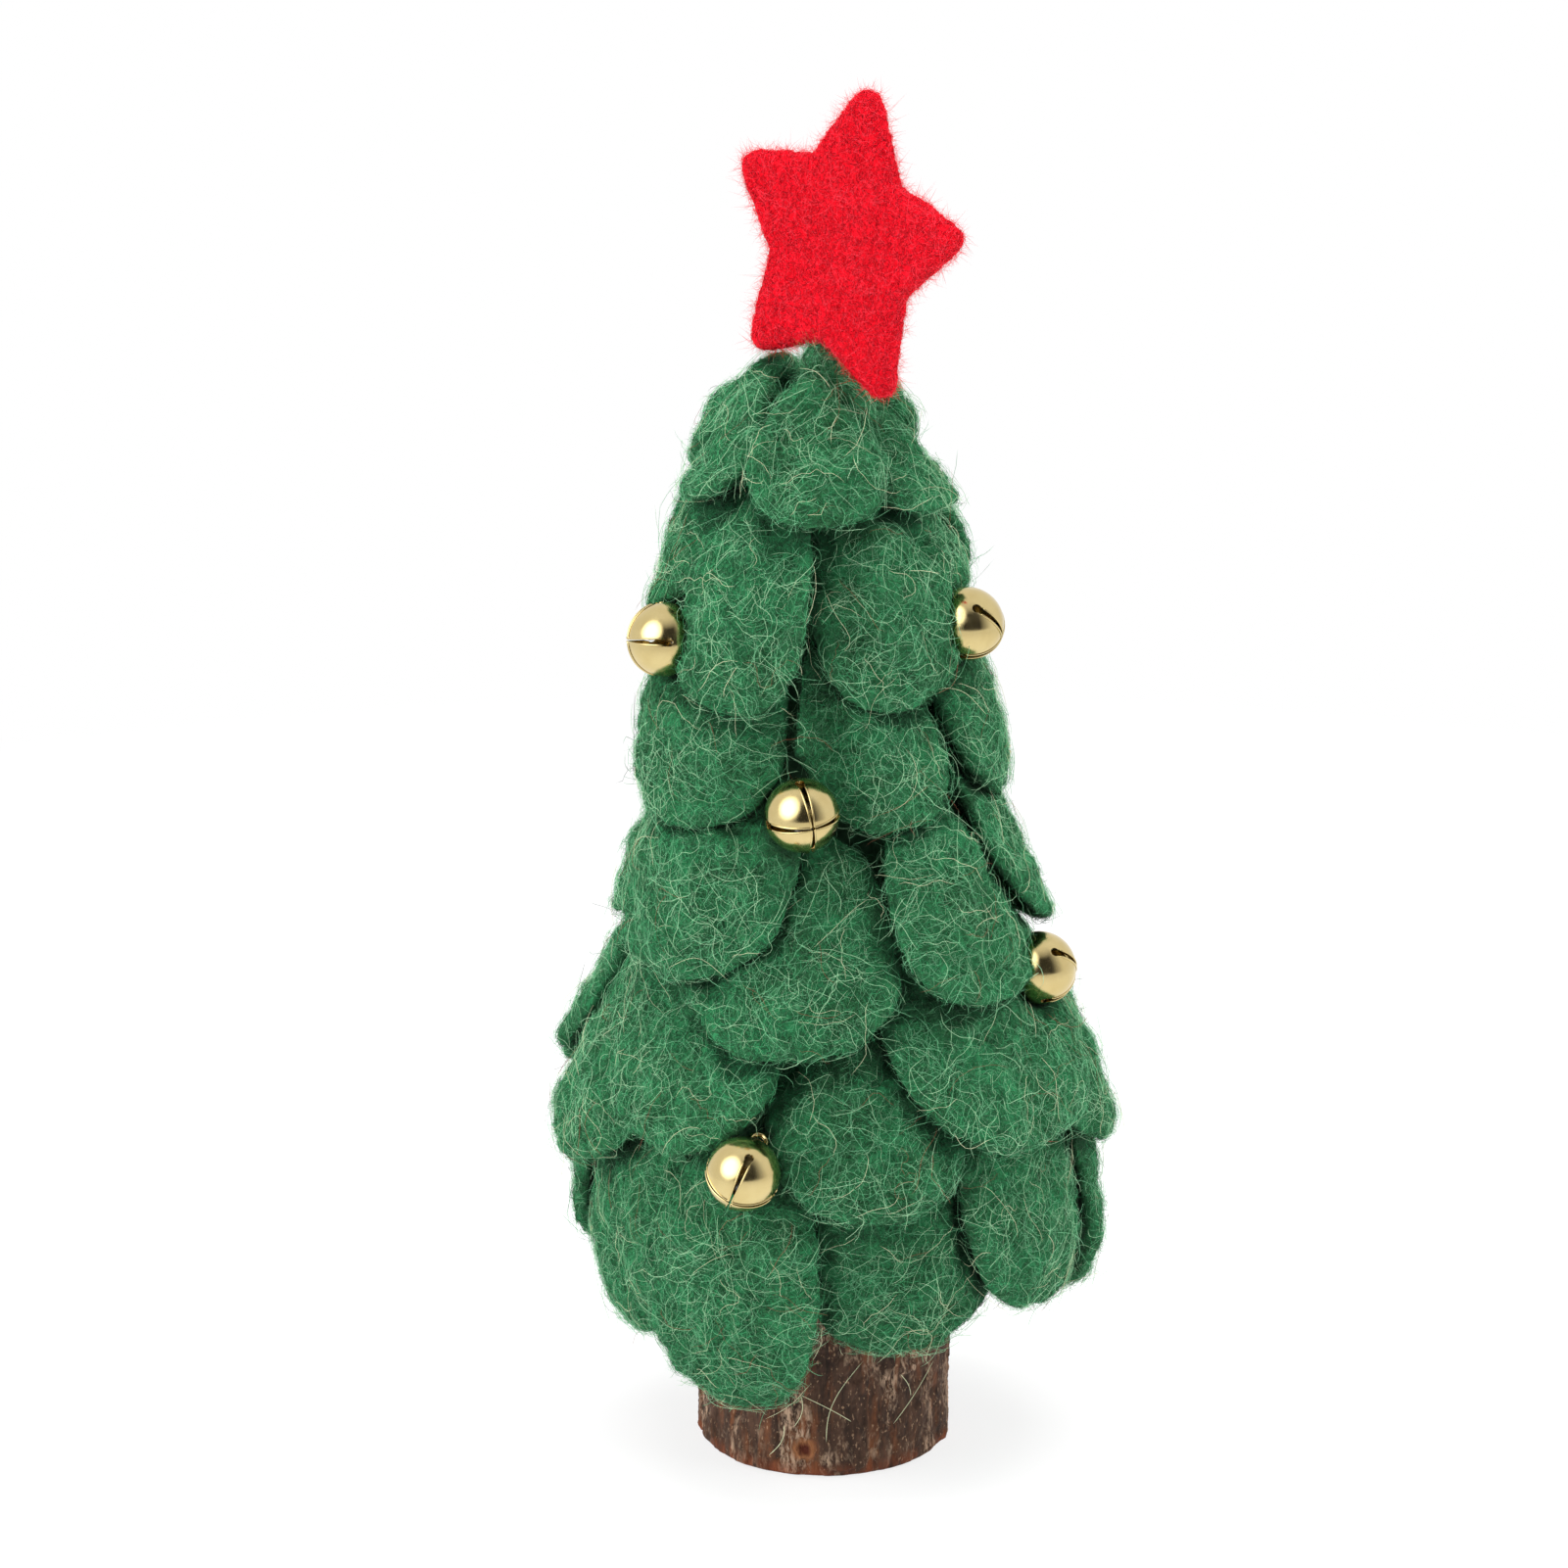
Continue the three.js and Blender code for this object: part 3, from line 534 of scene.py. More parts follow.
# Felt
def outward(points):
    """The way out of the tree at each point: nearly level low down, and upwards round the tip."""
    middle = np.zeros_like(points)
    over = points[:, 2] - TREE["pivot"] * MM
    middle[:, 0] = TREE["side"] * MM - over * math.tan(math.radians(TREE["lean"]))
    middle[:, 2] = np.minimum(points[:, 2] - TREE["drop"] * MM, TREE["dome"] * MM)
    return unit(points - middle)


def rim_distance(points, facing):
    """How far each point is from the sheet's rim."""
    low, high = FACE_SHARES["rim"]
    rim = points[(facing > low) & (facing < high)]
    nearest = KDTree(len(rim))
    for index, point in enumerate(rim.tolist()):
        nearest.insert(point, index)
    nearest.balance()
    return np.array([nearest.find(point)[2] for point in points.tolist()])


def remade(node, felt):
    """A CAD sheet as one even mesh with rounded edges."""
    draft = placed("draft", NODES[node].data.copy())
    shape = bmesh.new()
    shape.from_mesh(draft.data)
    bmesh.ops.remove_doubles(shape, verts=shape.verts, dist=WELD * MM)
    shape.to_mesh(draft.data)
    shape.free()
    draft.modifiers.new("round", "SUBSURF").levels = felt["round"]
    remesh = draft.modifiers.new("remesh", "REMESH")
    remesh.mode = "VOXEL"
    remesh.voxel_size = felt["voxel"] * MM
    draft.modifiers.new("relax", "SMOOTH").iterations = felt["smooth"]
    mesh = applied(draft)
    bpy.data.objects.remove(draft)
    return mesh


def bent(node, points, out):
    """A petal's points with its tip and, in the top row, its root bent in or out."""
    above_tip = (points[:, 2] - points[:, 2].min()) / (CURL["length"] * MM)
    rise = TIP_RISES.get(node, CURL["rise"])
    points = points + out * (rise * MM * np.clip(1 - above_tip, 0, 1) ** 2)[:, None]
    if "top" in node:
        below_root = (points[:, 2].max() - points[:, 2]) / (ROOT["length"] * MM)
        points = points + out * (ROOT["rise"] * MM * np.clip(1 - below_root, 0, 1))[:, None]
    return points


def felt_sheet(node, felt, seed):
    """A CAD sheet made round-edged, puffed out and lumpy, as a mesh."""
    mesh = remade(node, felt)
    points, normals, _ = mesh_arrays(mesh)
    out = outward(points)
    facing = ((normals * out).sum(1) - FACE_SHARES["start"]) / FACE_SHARES["span"]
    facing = np.clip(facing, 0, 1)
    rim = TOP_RIM if "top" in node else felt["rim"]
    height = rim + (felt["face"] - rim) * facing
    inside = np.clip(rim_distance(points, facing) / (PILLOW_WIDTH * MM), 0, 1)
    height += felt["pillow"] * facing * inside
    least = FACE_SHARES["rim_lumps"]
    rng = np.random.default_rng(seed)
    for length, rise in felt["lumps"]:
        height += rise * ripple(points, length, rng) * (least + (1 - least) * facing)
    points += normals * height[:, None] * MM
    if node in PETALS:
        points = bent(node, points, out)
    mesh.vertices.foreach_set("co", points.astype(np.float32).ravel())
    mesh.materials.clear()
    mesh.polygons.foreach_set("use_smooth", np.full(len(mesh.polygons), True))
    mesh.update()
    return mesh


def cover_tree(meshes):
    """All the felt as one tree of faces for rays."""
    points, triangles = joined([mesh_arrays(mesh)[::2] for mesh in meshes])
    return BVHTree.FromPolygons(points.tolist(), triangles.tolist())


def openness(points, normals, cover):
    """How far each point sees outwards, and most of all upwards, as shares of the reach."""
    reach, start = COVER["reach"] * MM, COVER["start"] * MM
    level = unit(np.cross(normals, (0.3, 0.2, 1)))
    other = np.cross(normals, level)
    seen, total = np.zeros((2, len(points)))
    origins = (points + normals * start).tolist()
    for way in range(COVER["ways"]):
        turn = FULL_TURN * way / COVER["ways"]
        tilt = COVER["tilt"] * (math.cos(turn) * level + math.sin(turn) * other)
        headings = unit(normals + tilt)
        weight = 1 + COVER["upward"] * np.maximum(headings[:, 2], 0)
        total += weight
        for index, heading in enumerate(headings.tolist()):
            distance = cover.ray_cast(origins[index], heading, reach)[3]
            seen[index] += weight[index] * (1 if distance is None else distance / reach)
    return seen / total


def scatter(surface, per_mm2, rng):
    """Random places on a surface, fewer where it is covered, with normals and openness."""
    points, normals, triangles, open_share = surface
    weight = face_areas(points, triangles) * open_share[triangles].mean(1) ** 2
    total = weight.sum()
    count = int(per_mm2 * total / MM**2)
    chosen = triangles[rng.choice(len(triangles), count, p=weight / total)]
    spots = rng.dirichlet((1, 1, 1), count)
    places = np.einsum("nk,nkd->nd", spots, points[chosen])
    facing = unit(np.einsum("nk,nkd->nd", spots, normals[chosen]))
    return places, facing, open_share[chosen].mean(1)


def between(rng, low_high, count):
    return rng.uniform(*low_high, count)


def lying_headings(length, share, kind, rng):
    """Which way each lying fibre runs at each step: turned, waved and kinked."""
    count = len(length)
    turn = between(rng, kind["bend"], count) * rng.choice((-1, 1), count)
    wave = rng.normal(0, 0.5, count)
    phase = between(rng, (0, FULL_TURN), count)
    heading = between(rng, (0, FULL_TURN), count)[:, None] + (turn * length)[:, None] * share
    heading += wave[:, None] * np.sin(share * FULL_TURN + phase[:, None])
    kink = rng.normal(0, kind["kink"], (count, 1))
    pace = rng.uniform(2, 4, (count, 1)) * FULL_TURN
    return heading + kink * np.sin(share * pace + 2 * phase[:, None])


def lying_paths(places, normals, kind, rng):
    """Curly paths along the felt, sagging with its curve round the tree."""
    count, steps = len(places), kind["steps"]
    level = unit(np.cross(normals, (0, 0, 1)) + 1e-6)
    along = np.cross(level, normals)
    length = between(rng, kind["length"], count)
    share = np.linspace(-0.5, 0.5, steps)
    heading = lying_headings(length, share, kind, rng)
    step = (length / (steps - 1))[:, None]
    right = np.cumsum(np.cos(heading) * step, 1)
    up = np.cumsum(np.sin(heading) * step, 1)
    right -= right.mean(1, keepdims=True)
    up -= up.mean(1, keepdims=True)
    girth = np.maximum(np.hypot(places[:, 0], places[:, 1]) / MM, LEAST_GIRTH)[:, None]
    rise = between(rng, kind["lift"], count)[:, None] - right**2 / (2 * girth)
    rise += between(rng, kind["arch"], count)[:, None] * np.cos(share * math.pi)
    parts = ((right, level), (up, along), (rise, normals))
    return places[:, None] + sum(size[..., None] * way[:, None] for size, way in parts) * MM


def standing_paths(places, normals, kind, rng):
    """Bent paths that stand out of the felt."""
    count, steps = len(places), kind["steps"]
    lean = unit(np.cross(normals, rng.normal(size=(count, 3))))
    upright = between(rng, kind["arch"], count)[:, None]
    heading = unit(normals * upright + lean * rng.uniform(0.2, 1.2, (count, 1)))
    sideways = unit(np.cross(heading, rng.normal(size=(count, 3))))
    length = between(rng, kind["length"], count)[:, None]
    share = np.linspace(0, 1, steps)
    bend = between(rng, kind["bend"], count)[:, None] * length
    start = normals * between(rng, kind["lift"], count)[:, None]
    paths = start[:, None] + heading[:, None] * (share * length)[..., None]
    paths += sideways[:, None] * (share**2 * bend)[..., None]
    return places[:, None] + paths * MM


def tubes(paths, radius, normals, sides=3):
    """Tubes that taper to a point at both ends, as points and triangles."""
    count, steps = paths.shape[:2]
    along = unit(np.gradient(paths, axis=1))[:, 1:-1]
    side = unit(np.cross(along, normals[:, None]) + 1e-9)
    other = np.cross(side, along)
    angles = FULL_TURN * np.arange(sides) / sides
    out = side[:, :, None] * np.cos(angles)[:, None]
    out = out + other[:, :, None] * np.sin(angles)[:, None]
    rings = paths[:, 1:-1, None] + out * (radius * MM)[:, None, None, None]
    points = np.concatenate([paths[:, :1], rings.reshape(count, -1, 3), paths[:, -1:]], axis=1)
    each = points.shape[1]
    faces = []
    last = 1 + sides * (steps - 3)
    for corner in range(sides):
        after = (corner + 1) % sides
        faces.append((0, 1 + after, 1 + corner))
        for here in range(1, last, sides):
            faces.append((here + corner, here + after, here + sides + after))
            faces.append((here + corner, here + sides + after, here + sides + corner))
        faces.append((last + corner, last + after, each - 1))
    triangles = np.array(faces)[None] + (np.arange(count) * each)[:, None, None]
    return points.reshape(-1, 3), triangles.reshape(-1, 3), len(faces)


def fibre_colours(kind, open_share, colours, covered, rng):
    """A colour number for each fibre, with darker colours painted in as shade where the felt is covered.
    """
    count = len(open_share)
    shares = np.array(list(kind["colours"].values()))
    choice = [colours.index(colour) for colour in kind["colours"]]
    choice = rng.choice(choice, count, p=shares / shares.sum())
    seen = open_share + rng.normal(0, PAINTED_SHADE_SHARES["spread"], count)
    choice = np.where(seen < PAINTED_SHADE_SHARES["second"], colours.index(covered[1]), choice)
    return np.where(seen < PAINTED_SHADE_SHARES["first"], colours.index(covered[0]), choice)


def grow_fibres(name, surface, kinds, covered, seed):
    """All the loose fibres of one piece of felt, as one piece with a slot for each colour."""
    rng = np.random.default_rng(seed)
    colours = {colour for kind in kinds.values() for colour in kind["colours"]}
    colours = sorted(colours | set(covered))
    parts, slots = [], []
    for kind in kinds.values():
        places, normals, open_share = scatter(surface, kind["per_mm2"], rng)
        make = lying_paths if kind["lie"] else standing_paths
        radius = between(rng, kind["radius"], len(places))
        corners, faces, each = tubes(make(places, normals, kind, rng), radius, normals)
        parts.append((corners, faces))
        slots.append(np.repeat(fibre_colours(kind, open_share, colours, covered, rng), each))
    mesh = build_mesh(name, *joined(parts), np.concatenate(slots))
    add_object(name, mesh, "root", [FIBRE_MATERIALS[colour] for colour in colours])


def declare_sheet(node):
    """Reads a CAD sheet's points and triangles, and makes nothing of them."""
    points, _, triangles = mesh_arrays(NODES[node].data)


def felt_piece(node, mesh, cover, cloth, seed):
    """One sheet of felt, pressed in where it is covered, and its fibres."""
    points, normals, triangles = mesh_arrays(mesh)
    open_share = openness(points, normals, cover)
    if cloth["press"]:
        out = outward(points)
        facing = np.clip((normals * out).sum(1), 0, 1)
        points -= out * (cloth["press"] * MM * facing * (1 - open_share))[:, None]
        mesh.vertices.foreach_set("co", points.astype(np.float32).ravel())
        mesh.update()
    # Painted shade: the felt material darkens the felt by this openness.
    attribute = mesh.attributes.new("open", "FLOAT", "POINT")
    attribute.data.foreach_set("value", open_share.astype(np.float32))
    piece = add_object(node + "_felt", mesh, "root", [cloth["material"]])
    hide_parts(node)
    declare_sheet(node)
    surface = (points, normals, triangles, open_share)
    grow_fibres(node + "_fibres", surface, cloth["fibres"], cloth["covered"], seed)


def felt_pieces():
    """The petals and the star, each with its fibres."""
    # The covered colours are the painted shade of the fibres where the felt is covered.
    green = {"slot": "green_felt", "fibres": FIBRES, "covered": ("shade", "deep"), "press": PRESS}
    green["material"] = felt_material("green_wool_felt")
    red = {"slot": "red_felt", "fibres": STAR_FIBRES, "covered": ("red_deep", "red"), "press": 0}
    red["material"] = felt_material("red_wool_felt")
    sheets = {node: felt_sheet(node, PETAL_FELT, 100 + index) for index, node in enumerate(PETALS)}
    star = felt_sheet("felt_star", STAR_FELT, 90)
    solid = [NODES[name].data for name in ("foam_core", "log_trunk", *BELLS)]
    cover = cover_tree([*sheets.values(), star, *solid])
    for index, (node, mesh) in enumerate(sheets.items()):
        felt_piece(node, mesh, cover, green, 500 + index)
    felt_piece("felt_star", star, cover, red, 91)


# Bells
def bell_frame(name):
    """Where a bell's centre is, and which way its slots face, from its pellet and its turns."""
    low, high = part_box(name.replace("bell_", "bell_pellet_"))
    centre = (low + high) / 2 + LEAN @ Vector((0, 0, PELLET_DROP * MM))
    azimuth, rise, spin = (math.radians(angle) for angle in BELL_TURNS[name])
    level = math.cos(rise)
    pole = Vector((level * math.sin(azimuth), -level * math.cos(azimuth), math.sin(rise)))
    up = (Vector((0, 0, 1)) - pole * pole.z).normalized()
    right = up.cross(pole)
    axes = Matrix((right, up, pole)).transposed() @ Matrix.Rotation(-spin, 3, "Z")
    return Matrix.Translation(centre) @ (LEAN @ axes).to_4x4()


def cutter(name, shape):
    mesh = bpy.data.meshes.new(name)
    shape.to_mesh(mesh)
    shape.free()
    return placed(name, mesh)


def slot_cutter(quarter):
    """Two opposite slots: narrow where they cross and wider towards the bell's middle."""
    reach = BELL["radius"] * MM * CUT_SHARE
    neck, wide = BELL["neck"] / 2 * MM, BELL["slot"] / 2 * MM
    outline = [(-reach, -wide), (0, -neck), (reach, -wide), (reach, wide), (0, neck), (-reach, wide)]
    shape = bmesh.new()
    lower = [shape.verts.new((x, y, BELL["slot_foot"] * MM)) for x, y in outline]
    raised = bmesh.ops.extrude_face_region(shape, geom=[shape.faces.new(lower)])["geom"]
    lifted = [item for item in raised if isinstance(item, bmesh.types.BMVert)]
    bmesh.ops.translate(shape, verts=lifted, vec=(0, 0, reach))
    bmesh.ops.recalc_face_normals(shape, faces=shape.faces)
    bmesh.ops.rotate(shape, verts=shape.verts, matrix=Matrix.Rotation(quarter, 3, "Z"))
    return cutter("slot", shape)


def hole_cutter(quarter):
    """The round holes at the far ends of two opposite slots."""
    shape = bmesh.new()
    size = {"radius1": BELL["hole"] * MM, "radius2": BELL["hole"] * MM}
    size["depth"] = 2 * BELL["radius"] * MM * CUT_SHARE
    bmesh.ops.create_cone(shape, cap_ends=True, segments=BELL["hole_sides"], **size)
    bmesh.ops.rotate(shape, verts=shape.verts, matrix=Matrix.Rotation(math.pi / 2, 3, "Y"))
    bmesh.ops.translate(shape, verts=shape.verts, vec=(0, 0, BELL["hole_height"] * MM))
    bmesh.ops.rotate(shape, verts=shape.verts, matrix=Matrix.Rotation(quarter, 3, "Z"))
    return cutter("hole", shape)


def lip_paths():
    """The turned lips along the slots, one bent path for each quarter of the cross."""
    radius = BELL["radius"] * MM
    neck, wide = BELL["neck"] / 2 * MM, BELL["slot"] / 2 * MM
    away = np.linspace(LIP_SHARES[0] * radius, LIP_SHARES[1] * neck, BELL["lip_steps"])
    aside = neck + (wide - neck) * away / (CUT_SHARE * radius)
    along = np.concatenate([away, aside[::-1]])
    across = np.concatenate([aside, away[::-1]])
    least = (BELL["slot_foot"] * MM) ** 2
    height = np.sqrt(np.maximum(radius**2 - along**2 - across**2, least))
    quarters = [(right * along, up * across, height) for right in (1, -1) for up in (1, -1)]
    return np.array([np.stack(quarter, -1) for quarter in quarters])


def bell_shell():
    """A bell's shell with its slots and holes cut out."""
    shape = bmesh.new()
    radius = BELL["radius"] * MM
    round_steps = {"u_segments": BELL["around"], "v_segments": BELL["along"]}
    bmesh.ops.create_uvsphere(shape, radius=radius, **round_steps)
    hollow = bmesh.ops.create_uvsphere(shape, radius=radius - BELL["wall"] * MM, **round_steps)
    faces = {face for vert in hollow["verts"] for face in vert.link_faces}
    bmesh.ops.reverse_faces(shape, faces=list(faces))
    shell = cutter("shell", shape)
    tools = [make(quarter) for make in (slot_cutter, hole_cutter) for quarter in (0, math.pi / 2)]
    for tool in tools:
        cut = shell.modifiers.new("cut", "BOOLEAN")
        cut.object = tool
        cut.solver = "EXACT"
    lips = shell.modifiers.new("lips", "BEVEL")
    lips.width = BELL["lip"] * MM
    lips.segments = BELL["lip_rounds"]
    lips.angle_limit = math.radians(BELL["lip_angle"])
    mesh = applied(shell)
    for piece in (shell, *tools):
        bpy.data.objects.remove(piece)
    return mesh


def bell_mesh():
    """One bell's shell, its turned lips, and the wire loop behind."""
    paths = lip_paths()
    radius = np.full(len(paths), BELL["lip_wire"])
    lips = tubes(paths, radius, unit(paths.mean(1)), sides=BELL["lip_sides"])[:2]
    return build_mesh("bell_shell", *joined([mesh_arrays(bell_shell())[::2], loop_ring(), lips]))


def loop_ring():
    """The wire loop on the bell's back."""
    around, sides = BELL["loop_steps"], BELL["wire_sides"]
    loop, wire = BELL["loop"] * MM, BELL["wire"] * MM
    turns = FULL_TURN * np.arange(around) / around
    rolls = FULL_TURN * np.arange(sides) / sides
    reach = loop + wire * np.cos(rolls)[None]
    x = reach * np.cos(turns)[:, None]
    z = reach * np.sin(turns)[:, None] - BELL["radius"] * MM - loop + wire
    y = np.broadcast_to(wire * np.sin(rolls)[None], x.shape)
    a = np.arange(around * sides).reshape(around, sides)
    b, d = np.roll(a, -1, 0), np.roll(a, -1, 1)
    c = np.roll(b, -1, 1)
    triangles = [np.stack(corners, -1).reshape(-1, 3) for corners in ((a, c, b), (a, d, c))]
    return np.stack([x, y, z], -1).reshape(-1, 3), np.concatenate(triangles)


def bell_pieces():
    shell = bell_mesh()
    brass, steel = brass_material(), steel_material()
    ball = bmesh.new()
    low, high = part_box(PELLETS[0])
    radius = (high.z - low.z) / 2
    bmesh.ops.create_icosphere(ball, subdivisions=BELL["ball_rounds"], radius=radius)
    for name in BELLS:
        mesh = shell.copy()
        mesh.transform(bell_frame(name))
        bell = add_object(name + "_shell", mesh, "root", [brass])
        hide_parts(name)
    for name in PELLETS:
        low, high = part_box(name)
        mesh = bpy.data.meshes.new(name + "_ball")
        ball.to_mesh(mesh)
        mesh.transform(Matrix.Translation((low + high) / 2))
        mesh.polygons.foreach_set("use_smooth", np.full(len(mesh.polygons), True))
        pellet = add_object(name + "_ball", mesh, "loose_" + name, [steel])
        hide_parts(name)
    ball.free()


# The log
def bark_height(points, rng):
    """How far the bark stands out, in millimetres: long furrows, and flakes with sharp edges."""
    squeezed = points * (1, 1, BARK["squeeze_share"])
    long, short = BARK["furrow_lengths"]
    furrows = ripple(squeezed, long, rng) + 0.5 * ripple(squeezed, short, rng)
    long, short = BARK["flake_lengths"]
    flakes = ripple(squeezed, long, rng) + 0.6 * ripple(points, short, rng)
    raised = 1 / (1 + np.exp(-BARK["flake_edge"] * flakes))
    fine = ripple(points, BARK["fine_length"], rng)
    return BARK["flake"] * (raised - 0.6) + BARK["furrow"] * furrows + BARK["fine"] * fine


def log_profile(edge):
    """The log from the middle of its foot to the middle of its top, as radius and height."""
    flat = LOG_RADIUS - edge
    inner = np.linspace(0, flat, BARK["rings"])
    corner = np.linspace(0, math.pi / 2, BARK["corner_steps"])
    bottom = [(radius, 0.0) for radius in inner[1:]]
    bottom += [(flat + edge * math.sin(a), edge - edge * math.cos(a)) for a in corner[1:]]
    levels = np.linspace(edge, LOG_HEIGHT - edge, BARK["rows"])[1:-1]
    side = [(LOG_RADIUS, level) for level in levels]
    top = [(flat + edge * math.cos(a), LOG_HEIGHT - edge + edge * math.sin(a)) for a in corner]
    return np.array(bottom + side + top + [(radius, LOG_HEIGHT) for radius in inner[-2:0:-1]])


def log_triangles(rows, around):
    """The faces between the rows, and fans onto the two middles, the last two points."""
    grid = np.arange(rows * around).reshape(rows, around)
    a, b = grid[:-1], np.roll(grid, -1, 1)[:-1]
    c, d = np.roll(grid, -1, 1)[1:], grid[1:]
    first, last = grid[0], grid[-1]
    foot = (np.full_like(first, rows * around), np.roll(first, -1), first)
    top = (np.full_like(last, rows * around + 1), last, np.roll(last, -1))
    parts = ((a, b, c), (a, c, d), foot, top)
    return np.concatenate([np.stack(corners, -1).reshape(-1, 3) for corners in parts])


def log_piece():
    edge = BARK["edge"] * MM
    rows = log_profile(edge)
    angles = FULL_TURN * np.arange(BARK["around"]) / BARK["around"]
    level = np.stack([np.cos(angles), np.sin(angles), np.zeros_like(angles)], -1)
    points = rows[:, None, :1] * level[None] + rows[:, None, 1:] * np.array((0, 0, 1))
    lift = bark_height(points.reshape(-1, 3), np.random.default_rng(7))
    depth = np.clip((rows[:, 0] - (LOG_RADIUS - edge)) / edge, 0, 1)[:, None]
    lift = lift.reshape(points.shape[:2]) * depth * MM
    points = (points + level[None] * lift[..., None]).reshape(-1, 3)
    points = np.concatenate([points, [(0, 0, 0), (0, 0, LOG_HEIGHT)]])
    triangles = log_triangles(len(rows), BARK["around"])
    middle = points[triangles].mean(1)
    sawn = np.hypot(middle[:, 0], middle[:, 1]) < LOG_RADIUS - SAWN_SHARE * edge
    mesh = build_mesh("log", points, triangles, sawn.astype(int))
    log = add_object("log_bark", mesh, "root", [bark_material(), sawn_material()])
    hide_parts("log_trunk")


def glue_piece():
    """The dried glue under the star, drawn out of its CAD blob, and the fuzz on it."""
    mesh = felt_sheet("star_glue", GLUE_BLOB, 8)
    glue = add_object("star_glue_blob", mesh, "root", [glue_material()])
    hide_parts("star_glue")
    points, normals, triangles = mesh_arrays(mesh)
    surface = (points, normals, triangles, np.ones(len(points)))
    # The glue counts as open all over, so only a few of its fibres take the painted shade colours.
    grow_fibres("star_glue_fibres", surface, GLUE_FIBRES, ("shade", "deep"), 9)


def stray_hairs():
    """Long hairs that hang from the hem over the log."""
    share = np.linspace(0, 1, STRAY["steps"])
    size = np.array((LOG_RADIUS, LOG_HEIGHT))
    paths = []
    for start, end, bow in STRAY_SHARES:
        flat = np.outer(1 - share, start * size) + np.outer(share, end * size)
        flat[:, 0] += bow * LOG_RADIUS * np.sin(math.pi * share)
        depth = np.sqrt((LOG_RADIUS + STRAY["clear"] * MM) ** 2 - flat[:, 0] ** 2)
        paths.append(np.stack([flat[:, 0], -depth, flat[:, 1]], -1))
    front = np.tile((0.0, -1.0, 0.0), (len(paths), 1))
    radius = np.full(len(paths), STRAY["radius"])
    points, triangles, _ = tubes(np.array(paths), radius, front)
    mesh = build_mesh("stray_hairs", points, triangles)
    add_object("stray_hairs", mesh, "root", [FIBRE_MATERIALS["straw"]])


def core_piece():
    core = NODES["foam_core"]
    core.data.materials.clear()
    core.data.materials.append(foam_material())


# Studio
def background_share(look):
    """One for the rays that see the background, through the camera, gloss or glass."""
    rays = look.add("LightPath").outputs
    gloss = look.calc("MAXIMUM", rays["Is Glossy Ray"], rays["Is Transmission Ray"])
    return look.calc("MAXIMUM", rays["Is Camera Ray"], gloss)


def stage_set():
    """A white floor that keeps the tree's shadow and fades into the white round it."""
    mesh = bpy.data.meshes.new("floor")
    shape = bmesh.new()
    bmesh.ops.create_circle(shape, cap_ends=True, segments=FLOOR["sides"], radius=FLOOR["radius"] * MM)
    shape.to_mesh(mesh)
    shape.free()
    floor = placed("floor", mesh)
    look = Shader("white_floor")
    look.finish(Base_Color=(1, 1, 1, 1), Roughness=1.0, Specular_IOR_Level=0.0)
    glow = look.add("Emission")
    away = look.add("VectorMath", {0: look.place}, operation="LENGTH").outputs["Value"]
    white = look.span(away, FLOOR["shadow"] * MM, FLOOR["white"] * MM, FLOOR["glow"], 1.0)
    seen = look.times(background_share(look), white)
    inputs = {0: seen, 1: look.surface.outputs["BSDF"], 2: glow.outputs["Emission"]}
    mixed = look.add("MixShader", inputs)
    look.put(look.tree.nodes["Material Output"].inputs["Surface"], mixed.outputs["Shader"])
    mesh.materials.append(look.material)


class WorldShader(Shader):
    """The world's node tree, with the same short calls."""

    def __init__(self, world):
        world.use_nodes = True
        self.tree = world.node_tree
        self.place = self.add("TexCoord").outputs["Generated"]


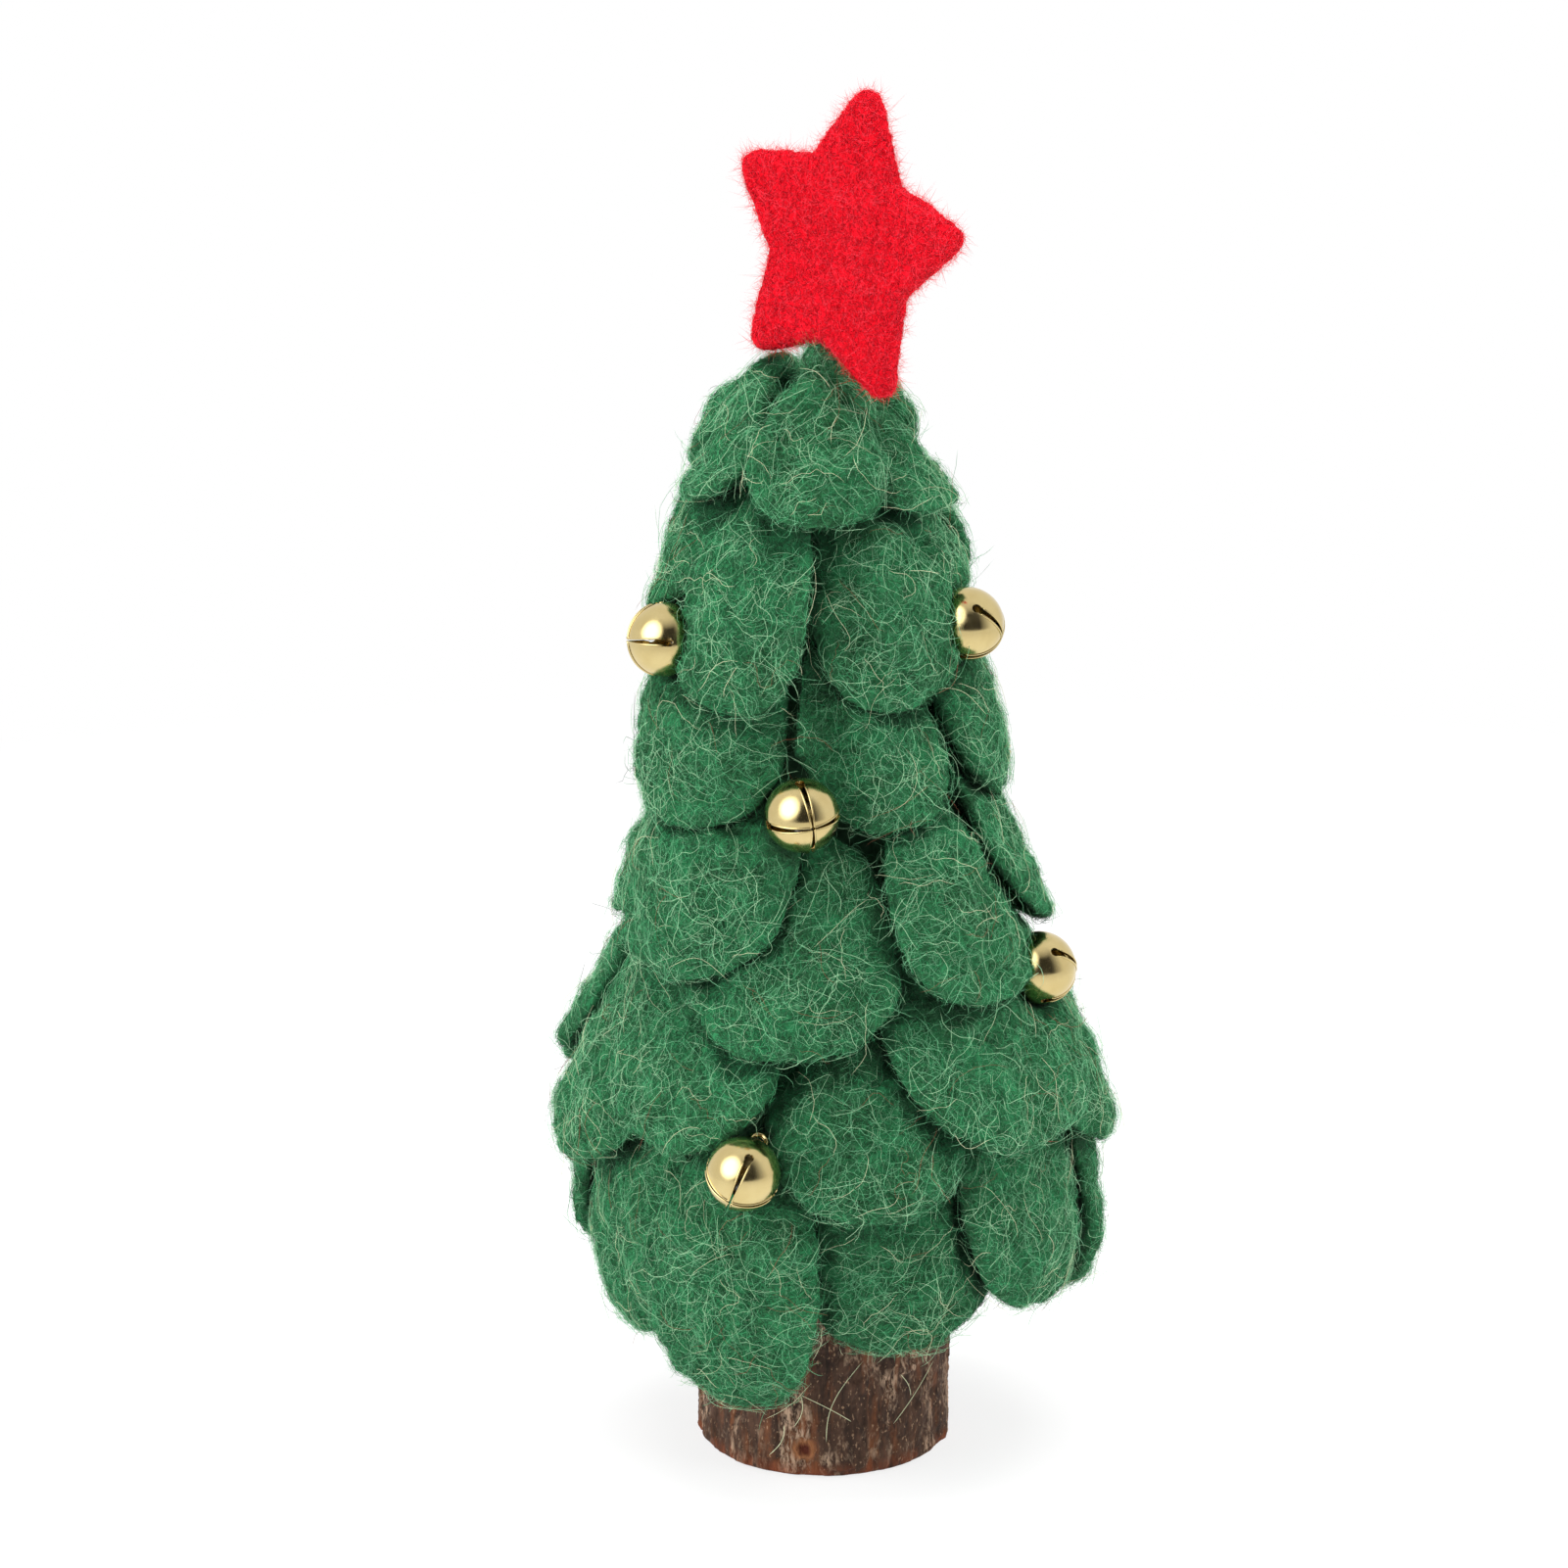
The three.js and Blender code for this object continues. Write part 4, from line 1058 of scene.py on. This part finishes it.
def world_light():
    """A white tent round the tree, seen whole by the camera. Its open front is dark in the gloss."""
    world = bpy.data.worlds.new("studio")
    bpy.context.scene.world = world
    look = WorldShader(world)
    split = look.add("SeparateXYZ", {"Vector": look.place})
    azimuth = look.calc("ARCTAN2", split.outputs["X"], look.times(split.outputs["Y"], -1.0))
    aside = look.calc("ABSOLUTE", look.calc("SUBTRACT", azimuth, OPENING["azimuth"]))
    walls = look.span(aside, *OPENING["edge"], OPENING["level"], 1.0)
    roof = look.span(split.outputs["Z"], *OPENING["top"], 0.0, 1.0)
    facing = look.add("VectorMath", {0: look.place, 1: HIGHLIGHT["way"]}, operation="DOT_PRODUCT")
    glow = look.span(facing.outputs["Value"], *HIGHLIGHT["edge"], 0.0, HIGHLIGHT["level"])
    tent = look.calc("ADD", look.calc("MAXIMUM", walls, roof), glow)
    rays = look.add("LightPath").outputs
    gloss = look.times(rays["Is Glossy Ray"], tent)
    seen = look.calc("MAXIMUM", rays["Is Camera Ray"], rays["Is Transmission Ray"])
    share = look.calc("MAXIMUM", seen, gloss)
    background = look.tree.nodes["Background"]
    background.inputs["Color"].default_value = (1, 1, 1, 1)
    lit = look.times(rays["Is Diffuse Ray"], TENT_LEVEL)
    look.put(background.inputs["Strength"], look.calc("MAXIMUM", share, lit))


def softboxes():
    target = Vector(BOX_TARGET) * MM
    for name, (place, width, height, power) in SOFTBOXES.items():
        lamp = bpy.data.lights.new(name, "AREA")
        lamp.shape = "RECTANGLE"
        lamp.size = width * MM
        lamp.size_y = height * MM
        lamp.energy = power
        box = placed(name, lamp)
        box.visible_glossy = False
        box.location = Vector(place) * MM
        box.rotation_euler = (target - Vector(place) * MM).to_track_quat("-Z", "Y").to_euler()


def add_camera():
    lens = bpy.data.cameras.new("camera")
    lens.sensor_width = CAMERA["sensor"]
    lens.lens = CAMERA["sensor"] * CAMERA["focal_pixels"] / CAMERA["picture_pixels"]
    lens.clip_start = CAMERA["near"] * MM
    camera = placed("camera", lens)
    camera.location = Vector(CAMERA["place"]) * MM
    camera.rotation_euler = (math.radians(90 - CAMERA["pitch"]), 0, 0)
    bpy.context.scene.camera = camera


FIBRE_MATERIALS = {name: fibre_material("fibre_" + name, FIBRE_COLOURS[name]) for name in FIBRE_COLOURS}

add_camera()
felt_pieces()
bell_pieces()
log_piece()
glue_piece()
stray_hairs()
core_piece()
stage_set()
world_light()
softboxes()
bpy.context.scene.view_settings.view_transform = "Standard"
